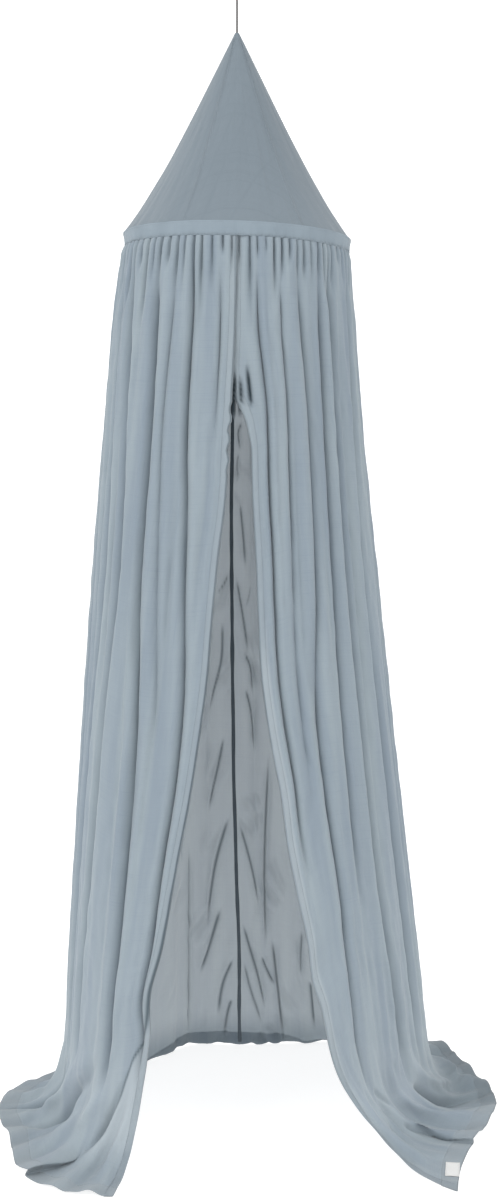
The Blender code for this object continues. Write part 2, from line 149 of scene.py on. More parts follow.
def leant(points: Array) -> Array:
    """Points sheared by the hoop's lean, which dies out at the apex and at the floor.

    Args:
        points: positions with heights above the floor.

    Returns:
        The moved positions.
    """
    z = points[..., 2]
    below = np.clip(z / SIZES.hoop, 0.0, 1.0)
    above = np.clip((SIZES.apex - z) / (SIZES.apex - SIZES.hoop), 0.0, 1.0)
    moved = points.copy()
    moved[..., 2] = z - SIZES.lean * points[..., 0] * np.minimum(below, above)
    return moved


def placed(points: Array) -> Array:
    """Points with heights above the floor, leant and set down in the row frame.

    Args:
        points: positions with heights above the floor.

    Returns:
        Positions in the row frame.
    """
    moved = leant(points)
    moved[..., 2] += FLOOR
    return moved


def normals_of(grid: Array) -> Array:
    """Unit normals of a grid of points that point away from the upright axis on the whole.

    Args:
        grid: points in rows down and columns across.

    Returns:
        One normal for each point.
    """
    normals = np.cross(np.gradient(grid, axis=1), np.gradient(grid, axis=0))
    normals /= np.maximum(np.linalg.norm(normals, axis=2, keepdims=True), 1e-12)
    away = grid.copy()
    away[..., 2] = OUT_AND_UP
    return normals if np.sum(normals * away) > 0 else -normals


@dataclass(frozen=True)
class Crinkle:
    """A smooth uneven field over the cloth, made of seeded waves.

    Args:
        seed: the start of the random draws.
        across: the usual length of a wave across the cloth.
        down: the usual length of a wave down the cloth.
        waves: how many waves are added.
    """

    seed: int
    across: float
    down: float
    waves: int = 9

    def at(self, x: Array, y: Array) -> Array:
        """The field's values.

        Args:
            x: places across.
            y: places down.

        Returns:
            Values that are mostly between -1 and 1.
        """
        draw = np.random.default_rng(self.seed)
        total = np.zeros(np.broadcast(x, y).shape)
        for _ in range(self.waves):
            turn = draw.choice((-1.0, 1.0)) * draw.uniform(0.5, 1.5) * TAU / self.across
            fall = draw.choice((-1.0, 1.0)) * draw.uniform(0.4, 1.5) * TAU / self.down
            total += np.sin(turn * x + fall * y + draw.uniform(0, TAU))
        return total / math.sqrt(self.waves)


def mesh_from_grid(name: str, grid: Array, flat: Array, finish: Material, ring: bool = False) -> Piece:
    """A smooth one-layer cloth mesh from a grid of points.

    Args:
        name: the piece's name.
        grid: positions in the row frame, rows down and columns across.
        flat: where each point lies on the flat cloth, in metres, for the weave.
        finish: the material.
        ring: whether the last column meets the first.

    Returns:
        The new object, linked to the scene.
    """
    rows, columns = grid.shape[:2]
    steps = columns if ring else columns - 1
    i, j = np.meshgrid(np.arange(rows - 1), np.arange(steps), indexing="ij")
    a = (i * columns + j).ravel()
    b = (i * columns + (j + 1) % columns).ravel()
    faces = np.stack([a, a + columns, b + columns, b], axis=1)
    corner = grid.reshape(-1, 3)[faces]
    facing = np.cross(corner[:, 1] - corner[:, 0], corner[:, 2] - corner[:, 0])
    centre = corner.mean(axis=1)
    centre[:, 2] = OUT_AND_UP
    if np.sum(facing * centre) < 0:
        faces = faces[:, ::-1]
    mesh = bpy.data.meshes.new(name)
    mesh.from_pydata(grid.reshape(-1, 3).tolist(), [], faces.tolist())
    wrap = flat.reshape(-1, 2)[faces.ravel()].astype(np.float64)
    if ring:
        closing = np.repeat(faces.max(axis=1) % columns == columns - 1, 4)
        low = wrap[:, 0] < 0.5 * flat[..., 0].max()
        first = (faces.ravel() % columns == 0) & closing & low
        wrap[first, 0] += flat[0, 1, 0] + flat[..., 0].max() - flat[0, 0, 0]
    layer = mesh.uv_layers.new(name="cloth")
    layer.data.foreach_set("uv", wrap.astype(np.float32).ravel())
    mesh.materials.append(finish)
    mesh.shade_smooth()
    return linked(name, mesh)


def linked(name: str, data: bpy.types.ID) -> Piece:
    """Puts data into the scene as a new object at the origin.

    Args:
        name: the object's name.
        data: its mesh, curve, light or camera.

    Returns:
        The object.
    """
    made = bpy.data.objects.new(name, data)
    bpy.context.scene.collection.objects.link(made)
    return made


def round_axis(radius: Array, angle: Array, height: Array) -> Array:
    """Positions from radii, directions from the front and heights."""
    return np.stack([radius * np.sin(angle), -radius * np.cos(angle), height], axis=-1)


def flat_map(across: Array, down: Array) -> Array:
    """Positions on the flat cloth from places across and down, in metres."""
    return np.stack(np.broadcast_arrays(across, down), axis=-1)


# ---------------- finishes


class Nodes:
    """Adds and links the nodes of one tree with little writing."""

    def __init__(self, tree: Tree) -> None:
        """Keeps the tree to build in."""
        self.tree = tree

    def add(self, kind: str, inputs: dict | None = None, **settings: object) -> bpy.types.Node:
        """A new node.

        Args:
            kind: the node's type name.
            inputs: for a socket's name or number, a value or the socket that feeds it.
            settings: the node's own properties.

        Returns:
            The node.
        """
        node = self.tree.nodes.new(kind)
        for key, value in settings.items():
            setattr(node, key, value)
        for key, value in (inputs or {}).items():
            if isinstance(value, Socket):
                self.tree.links.new(value, node.inputs[key])
            else:
                node.inputs[key].default_value = value
        return node

    def math(self, operation: str, *values: object) -> Socket:
        """The result of a Math node on numbers and sockets."""
        return self.add("ShaderNodeMath", dict(enumerate(values)), operation=operation).outputs[0]

    def vector(self, **parts: object) -> Socket:
        """A vector of the parts X, Y and Z, 0 where a part isn't given."""
        return self.add("ShaderNodeCombineXYZ", parts).outputs[0]

    def spot(self) -> bpy.types.NodeOutputs:
        """The parts X, Y and Z of each point's position."""
        position = self.add("GeometryNodeInputPosition").outputs[0]
        return self.add("ShaderNodeSeparateXYZ", {0: position}).outputs

    def place(self, name: str) -> Socket:
        """The coordinates of that name."""
        return self.add("ShaderNodeTexCoord").outputs[name]

    def painted(self, name: str) -> Socket:
        """The value that a piece stores for every point under a name, or nothing."""
        return self.add("ShaderNodeAttribute", attribute_name=name).outputs["Fac"]

    def stretched(self, place: Socket, stretch: Point) -> Socket:
        """Coordinates times a scale for each axis."""
        return self.add("ShaderNodeMapping", {"Vector": place, "Scale": stretch}).outputs[0]

    def noise(self, place: Socket, scale: float, detail: float, roughness: float = 0.5) -> Socket:
        """Soft noise, about 0.5 on the whole."""
        inputs = {"Vector": place, "Scale": scale, "Detail": detail, "Roughness": roughness}
        return self.add("ShaderNodeTexNoise", inputs).outputs[0]

    def span(self, value: Socket, low: float, high: float) -> Socket:
        """0 up to low, 1 from high, and an even rise between."""
        inputs = {"Value": value, "From Min": low, "From Max": high}
        return self.add("ShaderNodeMapRange", inputs).outputs["Result"]

    def blend(self, share: Socket, first: Colour | Socket, second: Colour | Socket) -> Socket:
        """A colour between two colours.

        Args:
            share: how far it is from the first to the second.
            first: the first colour.
            second: the second colour.

        Returns:
            The colour's socket.
        """
        inputs = {"Factor": share}
        for side, colour in (("A", first), ("B", second)):
            inputs[side] = colour if isinstance(colour, Socket) else (*colour, 1.0)
        return self.add("ShaderNodeMix", inputs, data_type="RGBA").outputs["Result"]

    def bump(self, height: Socket, strength: float, depth: float, **over: Socket) -> Socket:
        """The normals of a fine relief, over other normals where Normal gives them."""
        inputs = {"Strength": strength, "Distance": depth, "Height": height, **over}
        return self.add("ShaderNodeBump", inputs).outputs["Normal"]

    def surface(self, shader: Socket) -> None:
        """Gives a material its surface."""
        self.add("ShaderNodeOutputMaterial", {"Surface": shader})

    def close(self, name: str, geometry: Socket, finish: Material) -> None:
        """Ends a Geometry Nodes tree with plain geometry in its finish.

        Args:
            name: the output's name.
            geometry: what the tree has made.
            finish: the material.
        """
        real = self.add("GeometryNodeRealizeInstances", {0: geometry}).outputs[0]
        dressed = self.add("GeometryNodeSetMaterial", {"Geometry": real, "Material": finish})
        self.add("NodeGroupOutput", {name: dressed.outputs[0]})


def new_group(
    name: str, start: str, counts: Sequence[str], sizes: Sequence[str], end: str
) -> tuple[Tree, Nodes, bpy.types.NodeOutputs]:
    """An empty Geometry Nodes group.

    Args:
        name: its name.
        start: the input for what it starts from.
        counts: the names of its inputs that are whole numbers.
        sizes: the names of its other inputs.
        end: its output.

    Returns:
        The group, the maker of its nodes, and its inputs by name.
    """
    group = bpy.data.node_groups.new(name, "GeometryNodeTree")
    face = group.interface
    face.new_socket(start, in_out="INPUT", socket_type="NodeSocketGeometry")
    for count in counts:
        face.new_socket(count, in_out="INPUT", socket_type="NodeSocketInt")
    for size in sizes:
        face.new_socket(size, in_out="INPUT", socket_type="NodeSocketFloat")
    face.new_socket(end, in_out="OUTPUT", socket_type="NodeSocketGeometry")
    nodes = Nodes(group)
    return group, nodes, nodes.add("NodeGroupInput").outputs


def new_material(name: str) -> tuple[Material, Nodes]:
    """An empty material with nodes.

    Args:
        name: its name.

    Returns:
        The material, and the maker of its nodes.
    """
    material = bpy.data.materials.new(name)
    material.use_nodes = True
    material.node_tree.nodes.clear()
    return material, Nodes(material.node_tree)


@dataclass(frozen=True)
class SheerCotton:
    """Fine plain-woven cotton that light comes through, with painted shade in its folds and hems and a
    painted highlight on its hems.

    Args:
        name: the material's name.
        colour: the lit colour of the cloth.
        deep: the colour of its thicker threads and slubs.
        through: the colour of light that has come through.
        passing: how much of the cloth's light comes through it.
        open_share: how much is seen straight through the weave.
        slub: how strongly the uneven threads show.
        bands: how strongly the long tone bands down the cloth show.
        fold_shade_tone: how much of the cloth's colour is left in the painted shade of the very
            deepest folds.
        fold_shade_tint: what that painted shade is multiplied by, since it is cooler than the lit
            cloth.
        fold_shade_power: how late the painted shade sets in as a fold gets deeper.
        fold_shade_share: how far a fold's painted shade goes towards the deepest one.
        low_hem_shade_share: how far the painted shade on the bottom hem at the back goes towards it.
        floor_shade_share: how much of the light that comes through is held back on the floor, as
            painted shade on the lying cloth.
        pale: the colour of the painted highlight where two layers of a hem catch the light.
        warp: how often an upright thread changes for each metre across and down.
        weft: the same for a level thread.
        long_slubs: the same for the thick places of upright threads.
        short_slubs: the same for those of level threads.
        band_spread: the same for the tone bands.
    """

    name: str
    colour: Colour
    deep: Colour
    through: Colour
    passing: float = 0.42
    open_share: float = 0.02
    slub: float = 0.4
    bands: float = 0.8
    fold_shade_tone: float = 0.30
    fold_shade_tint: Colour = (0.84, 1.0, 1.08)
    fold_shade_power: float = 1.4
    fold_shade_share: float = 0.60
    low_hem_shade_share: float = 0.03
    floor_shade_share: float = 0.9
    pale: Colour = (0.388, 0.438, 0.472)
    warp: Point = (1500.0, 60.0, 1.0)
    weft: Point = (60.0, 1400.0, 1.0)
    long_slubs: Point = (620.0, 9.0, 1.0)
    short_slubs: Point = (7.0, 540.0, 1.0)
    band_spread: Point = (17.0, 1.3, 1.0)

    def material(self) -> Material:
        """Makes the finish.

        Returns:
            The material.
        """
        material, nodes = new_material(self.name)
        place = nodes.place("UV")
        warp, weft = (self.streaks(nodes, place, way) for way in (self.warp, self.weft))
        weave = nodes.math("MAXIMUM", warp, weft)
        long, short = (self.streaks(nodes, place, way) for way in (self.long_slubs, self.short_slubs))
        slubs = nodes.math("MAXIMUM", long, short)
        wide = nodes.noise(nodes.stretched(place, self.band_spread), 1.0, 2.5)
        bands = nodes.math("MULTIPLY", nodes.span(wide, 0.36, 0.64), self.bands)
        tone = nodes.math("ADD", nodes.math("MULTIPLY", slubs, self.slub), bands)
        woven = nodes.blend(tone, self.colour, self.deep)
        # painted shade: the hollow attribute darkens the colour, and the light through the cloth, in
        # folds, creases and troughs
        fold_shade_curve = nodes.math("POWER", nodes.painted("hollow"), self.fold_shade_power)
        painted_fold_shade = nodes.math("MULTIPLY", fold_shade_curve, self.fold_shade_share)
        # painted shade: the bottom hem at the back is darkened where its layers hold back the light
        # from behind
        hem_shade = nodes.math("MULTIPLY", nodes.painted("low_hem"), self.low_hem_shade_share)
        shade = nodes.math("MAXIMUM", painted_fold_shade, hem_shade)
        # painted highlight: the pale attribute lightens the hems and the curled strip by the front
        # edge
        highlighted = nodes.blend(nodes.painted("pale"), woven, self.pale)
        colour = nodes.blend(shade, highlighted, self.shaded(self.colour))
        # painted shade: the light that comes through the cloth is darkened where it lies on the floor
        painted_floor_shade = nodes.math("MULTIPLY", nodes.painted("grounded"), self.floor_shade_share)
        through_shade = nodes.math("MAXIMUM", shade, painted_floor_shade)
        passed = nodes.blend(through_shade, self.through, self.shaded(self.through))
        crumple = nodes.noise(place, 42.0, 5.0, 0.62)
        puckered = nodes.math("ADD", nodes.math("MULTIPLY", nodes.painted("front_hem"), 1.5), 1.0)
        soft = nodes.bump(nodes.math("MULTIPLY", crumple, puckered), 0.28, 0.004)
        relief = nodes.math("ADD", weave, nodes.math("MULTIPLY", slubs, 0.7))
        front = nodes.add(
            "ShaderNodeBsdfPrincipled",
            {
                "Base Color": colour,
                "Roughness": 0.9,
                "Specular IOR Level": 0.18,
                "Sheen Weight": 0.25,
                "Sheen Roughness": 0.45,
                "Normal": nodes.bump(relief, 0.35, 0.0004, Normal=soft),
            },
        ).outputs["BSDF"]
        back = nodes.add("ShaderNodeBsdfTranslucent", {"Color": passed, "Normal": soft}).outputs[0]
        cloth = nodes.add("ShaderNodeMixShader", {0: self.passing, 1: front, 2: back}).outputs[0]
        gaps = nodes.add("ShaderNodeBsdfTransparent").outputs[0]
        mixed = nodes.add("ShaderNodeMixShader", {0: self.open_share, 1: cloth, 2: gaps}).outputs[0]
        nodes.surface(mixed)
        return material

    def shaded(self, colour: Colour) -> Colour:
        """The painted shade colour of the very deepest folds."""
        return tuple(self.fold_shade_tone * c * part for c, part in zip(self.fold_shade_tint, colour))

    @staticmethod
    def streaks(nodes: Nodes, place: Socket, stretch: Point) -> Socket:
        """Thicker stretches of single threads, as a share from 0 to 1."""
        return nodes.span(nodes.noise(nodes.stretched(place, stretch), 1.0, 2.0), 0.52, 0.72)


@dataclass(frozen=True)
class SpunFibre:
    """Twisted or sewn thread, ribbon and cord, with fine fibres along it.

    Args:
        name: the material's name.
        colour: the main colour.
        shade: the colour between the fibres.
        grain: how many fibres there are for each metre.
        roughness: how matt it is.
        sheen: the soft gloss of fine fibres.
    """

    name: str
    colour: Colour
    shade: Colour
    grain: float = 1400.0
    roughness: float = 0.8
    sheen: float = 0.2

    def material(self) -> Material:
        """Makes the finish.

        Returns:
            The material.
        """
        material, nodes = new_material(self.name)
        place = nodes.place("Object")
        fibres = nodes.noise(place, self.grain, 3.0)
        worn = nodes.math("MULTIPLY", nodes.noise(place, 60.0, 2.0), 0.4)
        both = nodes.math("ADD", nodes.math("MULTIPLY", fibres, 0.6), worn)
        surface = nodes.add(
            "ShaderNodeBsdfPrincipled",
            {
                "Base Color": nodes.blend(both, self.colour, self.shade),
                "Roughness": self.roughness,
                "Specular IOR Level": 0.25,
                "Sheen Weight": self.sheen,
                "Normal": nodes.bump(fibres, 0.5, 0.0003),
            },
        ).outputs["BSDF"]
        nodes.surface(surface)
        return material


@dataclass(frozen=True)
class MouldedPlastic:
    """The hoop's smooth pale plastic, a little scuffed.

    Args:
        name: the material's name.
        colour: its colour.
        roughness: about how matt it is.
    """

    name: str = "hoop_plastic"
    colour: Colour = (0.78, 0.78, 0.75)
    roughness: float = 0.38

    def material(self) -> Material:
        """Makes the finish.

        Returns:
            The material.
        """
        material, nodes = new_material(self.name)
        scuffs = nodes.noise(nodes.place("Object"), 140.0, 5.0)
        rough = nodes.add(
            "ShaderNodeMapRange",
            {"Value": scuffs, "To Min": self.roughness - 0.08, "To Max": self.roughness + 0.18},
        ).outputs["Result"]
        surface = nodes.add(
            "ShaderNodeBsdfPrincipled",
            {
                "Base Color": (*self.colour, 1.0),
                "Roughness": rough,
                "Normal": nodes.bump(scuffs, 0.12, 0.0004),
            },
        ).outputs["BSDF"]
        nodes.surface(surface)
        return material


@dataclass(frozen=True)
class LitFloor:
    """A plain matt floor that is lit a little from below, as a studio's white sweep is.

    Args:
        name: the material's name.
        colour: its colour.
        glow: how strongly it is lit from below.
    """

    name: str
    colour: Colour
    glow: float

    def material(self) -> Material:
        """Makes the finish.

        Returns:
            The material.
        """
        material, nodes = new_material(self.name)
        surface = nodes.add(
            "ShaderNodeBsdfPrincipled",
            {
                "Base Color": (*self.colour, 1.0),
                "Roughness": 0.9,
                "Emission Color": (1.0, 1.0, 1.0, 1.0),
                "Emission Strength": self.glow,
            },
        ).outputs["BSDF"]
        nodes.surface(surface)
        return material


@dataclass(frozen=True)
class Finishes:
    """Every material of the canopy, made once."""

    cotton: Material
    cone_cotton: Material
    band_cotton: Material
    binding: Material
    thread: Material
    label: Material
    cord: Material
    hoop: Material

    @classmethod
    def mixed(cls) -> "Finishes":
        """Makes all the finishes, in the photo's colours.

        Returns:
            The finishes.
        """
        return cls(
            cotton=SheerCotton(
                "dusty_blue_voile",
                (0.298, 0.352, 0.386),
                (0.224, 0.274, 0.326),
                (0.325, 0.352, 0.370),
            ).material(),
            # painted shade: the cone's copy of the voile is much darker than the skirt's
            cone_cotton=SheerCotton(
                "dusty_blue_cone_shaded",
                (0.181, 0.217, 0.246),
                (0.154, 0.188, 0.216),
                (0.165, 0.198, 0.222),
                passing=0.34,
            ).material(),
            # painted shade: the band's copy of the voile is darker than the skirt's, though lighter
            # than the cone's
            band_cotton=SheerCotton(
                "dusty_blue_band_shaded",
                (0.245, 0.295, 0.336),
                (0.212, 0.258, 0.296),
                (0.235, 0.285, 0.320),
                passing=0.34,
            ).material(),
            # painted shade: the binding's very dark colour stands in for the light that the seam's
            # stacked layers hold back
            binding=SpunFibre(
                "shaded_seam_binding", (0.088, 0.108, 0.125), (0.055, 0.070, 0.084), grain=900.0
            ).material(),
            thread=SpunFibre("sewing_thread", (0.20, 0.235, 0.262), (0.15, 0.18, 0.205)).material(),
            label=SpunFibre(
                "blank_ribbon", (0.50, 0.50, 0.49), (0.43, 0.43, 0.425), grain=1600.0, roughness=0.6
            ).material(),
            cord=SpunFibre(
                "grey_twisted_cotton", (0.13, 0.127, 0.125), (0.085, 0.083, 0.08), grain=1200.0
            ).material(),
            hoop=MouldedPlastic().material(),
        )


# ---------------- stitches


@dataclass(frozen=True)
class StitchRun:
    """A row of sewn stitches along a line, made with Geometry Nodes.

    Args:
        length: one stitch's length.
        pitch: from one stitch to the next.
        thread: the thread's radius.
        slant: the most that a stitch turns off the line, in radians.
    """

    length: float = 0.0028
    pitch: float = 0.0042
    thread: float = 0.00032
    slant: float = 0.16

    def tree(self, finish: Material) -> Tree:
        """The node group that sets stitches along a curve.

        Args:
            finish: the thread's material.

        Returns:
            The group, with its sizes as named inputs.
        """
        sizes = ("Pitch", "Stitch length", "Thread radius", "Slant")
        group, nodes, given = new_group("stitch_run", "Line", (), sizes, "Stitches")
        points = nodes.add(
            "GeometryNodeCurveToPoints",
            {"Curve": given["Line"], "Length": given["Pitch"]},
            mode="LENGTH",
        ).outputs
        stitch = nodes.add(
            "GeometryNodeMeshCylinder",
            {"Vertices": 5, "Radius": given["Thread radius"], "Depth": given["Stitch length"]},
            fill_type="TRIANGLE_FAN",
        ).outputs["Mesh"]
        low = nodes.math("MULTIPLY", given["Slant"], -1.0)
        lows = nodes.vector(X=low, Y=low)
        highs = nodes.vector(X=given["Slant"], Y=given["Slant"])
        turn = nodes.add(
            "FunctionNodeRandomValue", {0: lows, 1: highs, "Seed": 7}, data_type="FLOAT_VECTOR"
        ).outputs[0]
        rotation = nodes.add(
            "FunctionNodeRotateRotation",
            {"Rotation": points["Rotation"], "Rotate By": turn},
            rotation_space="LOCAL",
        ).outputs[0]
        laid = nodes.add(
            "GeometryNodeInstanceOnPoints",
            {"Points": points["Points"], "Instance": stitch, "Rotation": rotation},
        ).outputs[0]
        nodes.close("Stitches", laid, finish)
        return group

    def sew(self, name: str, lines: Sequence[Array], finish: Material) -> Piece:
        """Stitches along some lines, as one plain mesh.

        Args:
            name: the piece's name.
            lines: points in the row frame for each line.
            finish: the thread's material.

        Returns:
            The new piece.
        """
        curve = bpy.data.curves.new(name + "_line", "CURVE")
        curve.dimensions = "3D"
        for line in lines:
            spline = curve.splines.new("POLY")
            spline.points.add(len(line) - 1)
            weighted = np.c_[line, np.ones(len(line))]
            spline.points.foreach_set("co", weighted.astype(np.float32).ravel())
        values = {
            "Pitch": self.pitch,
            "Stitch length": self.length,
            "Thread radius": self.thread,
            "Slant": self.slant,
        }
        return grown(name, curve, self.tree(finish), values, finish)


def grown(
    name: str, seed: bpy.types.ID, group: Tree, values: dict[str, object], finish: Material
) -> Piece:
    """The plain mesh that a Geometry Nodes group makes from some data.

    Args:
        name: the piece's name.
        seed: the mesh or curve that the group starts from.
        group: the node group.
        values: its named inputs.
        finish: the material.

    Returns:
        The new piece, with no modifier left.
    """
    carrier = linked(name + "_carrier", seed)
    modifier = carrier.modifiers.new("grow", "NODES")
    modifier.node_group = group
    for item in group.interface.items_tree:
        if item.in_out == "INPUT" and item.name in values:
            modifier[item.identifier] = values[item.name]
    bpy.context.view_layer.update()
    graph = bpy.context.evaluated_depsgraph_get()
    mesh = bpy.data.meshes.new_from_object(carrier.evaluated_get(graph))
    mesh.name = name
    carrier.modifiers.clear()
    bpy.data.objects.remove(carrier)
    mesh.materials.clear()
    mesh.materials.append(finish)
    mesh.shade_smooth()
    return linked(name, mesh)


# ---------------- skirt


class Guide(NamedTuple):
    """One line down a panel: where its fall meets the floor and where its hem lies."""

    share: float
    foot_x: float
    foot_y: float
    flare: float
    bow: float
    end_x: float
    end_y: float


class EdgeRow(NamedTuple):
    """Where the front edges hang at one height above the floor."""

    height: float
    left_x: float
    right_x: float


class SeamRow(NamedTuple):
    """How far the back seam hangs off the middle at one height above the floor."""

    height: float
    x: float


class Valley(NamedTuple):
    """A long crease down a panel: its shares of the width at six heights, and its section."""

    top: float
    shoulder: float
    high: float
    middle: float
    low: float
    foot: float
    depth: float
    half_width: float
    start: float = 0.01
    stop: float = 0.90


class Fold(NamedTuple):
    """A short fold or wrinkle through three places, each a share across and a share down.

    A negative height is a trough, seen from the side that the cloth's face is on.
    """

    across_1: float
    down_1: float
    across_2: float
    down_2: float
    across_3: float
    down_3: float
    height: float
    half_width: float


class Lap(NamedTuple):
    """A place where the lying cloth folds over itself, along a line down the panel."""

    across_1: float
    across_2: float
    down_1: float
    down_2: float
    reach: float
    height: float
    half_width: float


class SlitPleat(NamedTuple):
    """A deep pleat beside the slit's top: its place at its foot and at its top."""

    foot_x: float
    top_x: float
    top: float
    depth: float


# The shares down the panel at which a valley's six places stand.
VALLEY_DOWNS = (0.03, 0.18, 0.35, 0.50, 0.66, 0.80)

FRONT_EDGES = (
    EdgeRow(0.288, -0.1906, 0.1758),
    EdgeRow(0.348, -0.1765, 0.1582),
    EdgeRow(0.428, -0.1543, 0.1479),
    EdgeRow(0.528, -0.1355, 0.1262),
    EdgeRow(0.630, -0.1168, 0.1055),
    EdgeRow(0.731, -0.0970, 0.0922),
    EdgeRow(0.854, -0.0775, 0.0684),
    EdgeRow(0.978, -0.0605, 0.0507),
    EdgeRow(1.103, -0.0500, 0.0434),
    EdgeRow(1.226, -0.0380, 0.0383),
    EdgeRow(1.350, -0.0225, 0.0311),
    EdgeRow(1.474, -0.0156, 0.0280),
    EdgeRow(1.545, -0.0110, 0.0255),
    EdgeRow(1.702, -0.0030, 0.0062),
    EdgeRow(1.900, -0.0011, 0.0011),
)
BACK_SEAM = (
    SeamRow(0.00, 0.0078),
    SeamRow(0.25, 0.0042),
    SeamRow(0.55, -0.0050),
    SeamRow(0.95, -0.0108),
    SeamRow(1.40, -0.0130),
    SeamRow(1.90, 0.0000),
)

LEFT_GUIDES = (
    Guide(0.00, -0.215, -0.330, 1.30, 0.000, -0.240, -0.503),
    Guide(0.09, -0.265, -0.290, 1.20, 0.000, -0.337, -0.480),
    Guide(0.18, -0.310, -0.235, 0.98, 0.000, -0.425, -0.392),
    Guide(0.32, -0.360, -0.110, 0.80, 0.000, -0.484, -0.170),
    Guide(0.44, -0.385, 0.000, 0.74, 0.000, -0.528, -0.005),
    Guide(0.54, -0.390, 0.085, 0.74, 0.000, -0.508, 0.130),
    Guide(0.64, -0.360, 0.175, 0.80, 0.000, -0.425, 0.245),
    Guide(0.73, -0.280, 0.260, 0.95, 0.000, -0.300, 0.320),
    Guide(0.82, -0.195, 0.350, 1.00, 0.000, -0.205, 0.372),
    Guide(0.92, -0.112, 0.480, 1.00, 0.000, -0.114, 0.488),
    Guide(1.00, 0.000, 0.478, 1.00, 0.000, 0.000, 0.484),
)
RIGHT_GUIDES = (
    Guide(0.00, 0.230, -0.270, 1.50, 0.040, 0.430, -0.476),
    Guide(0.09, 0.270, -0.235, 1.45, 0.030, 0.455, -0.340),
    Guide(0.17, 0.305, -0.195, 1.40, 0.020, 0.492, -0.225),
    Guide(0.26, 0.352, -0.130, 1.33, 0.010, 0.540, -0.100),
    Guide(0.36, 0.398, -0.045, 1.24, 0.000, 0.580, 0.040),
    Guide(0.46, 0.440, 0.055, 1.20, 0.000, 0.570, 0.170),
    Guide(0.56, 0.442, 0.175, 1.18, 0.000, 0.540, 0.340),
    Guide(0.66, 0.390, 0.320, 1.10, 0.000, 0.502, 0.480),
    Guide(0.76, 0.290, 0.430, 1.05, 0.000, 0.360, 0.522),
    Guide(0.88, 0.150, 0.485, 1.00, 0.000, 0.168, 0.505),
    Guide(1.00, 0.000, 0.478, 1.00, 0.000, 0.000, 0.484),
)

LEFT_GATHERS = (
    *(0.019, 0.041, 0.066, 0.091, 0.111, 0.136, 0.157),
    *(0.187, 0.219, 0.244, 0.270, 0.298, 0.328),
)
RIGHT_GATHERS = (
    *(0.011, 0.036, 0.054, 0.078, 0.101, 0.123, 0.145),
    *(0.169, 0.190, 0.216, 0.245, 0.264, 0.285),
)

LEFT_VALLEYS = (
    Valley(0.041, 0.038, 0.034, 0.030, 0.030, 0.030, 0.009, 0.010, stop=0.26),
    Valley(0.112, 0.106, 0.077, 0.052, 0.042, 0.022, 0.015, 0.015),
    Valley(0.160, 0.162, 0.140, 0.112, 0.100, 0.090, 0.007, 0.012, stop=0.55),
    Valley(0.221, 0.198, 0.186, 0.158, 0.147, 0.140, 0.018, 0.020),
    Valley(0.325, 0.290, 0.264, 0.281, 0.288, 0.300, 0.017, 0.019),
    Valley(0.378, 0.358, 0.338, 0.352, 0.372, 0.380, 0.011, 0.016),
    Valley(0.455, 0.440, 0.430, 0.425, 0.430, 0.440, 0.016, 0.022),
    Valley(0.560, 0.560, 0.550, 0.540, 0.530, 0.530, 0.016, 0.022),
    Valley(0.680, 0.675, 0.670, 0.660, 0.655, 0.660, 0.015, 0.022),
    Valley(0.800, 0.795, 0.790, 0.780, 0.770, 0.770, 0.013, 0.020),
)
RIGHT_VALLEYS = (
    Valley(0.052, 0.052, 0.051, 0.048, 0.045, 0.050, 0.014, 0.012, stop=0.66),
    Valley(0.118, 0.112, 0.098, 0.090, 0.085, 0.090, 0.009, 0.013, stop=0.60),
    Valley(0.169, 0.180, 0.165, 0.132, 0.138, 0.116, 0.012, 0.018),
    Valley(0.240, 0.236, 0.225, 0.210, 0.205, 0.205, 0.012, 0.014, stop=0.70),
    Valley(0.284, 0.279, 0.273, 0.276, 0.281, 0.306, 0.022, 0.018),
    Valley(0.390, 0.370, 0.360, 0.372, 0.390, 0.400, 0.014, 0.018),
    Valley(0.500, 0.490, 0.480, 0.480, 0.480, 0.490, 0.016, 0.022),
    Valley(0.620, 0.612, 0.610, 0.605, 0.600, 0.600, 0.015, 0.022),
    Valley(0.750, 0.745, 0.740, 0.735, 0.730, 0.730, 0.015, 0.022),
)

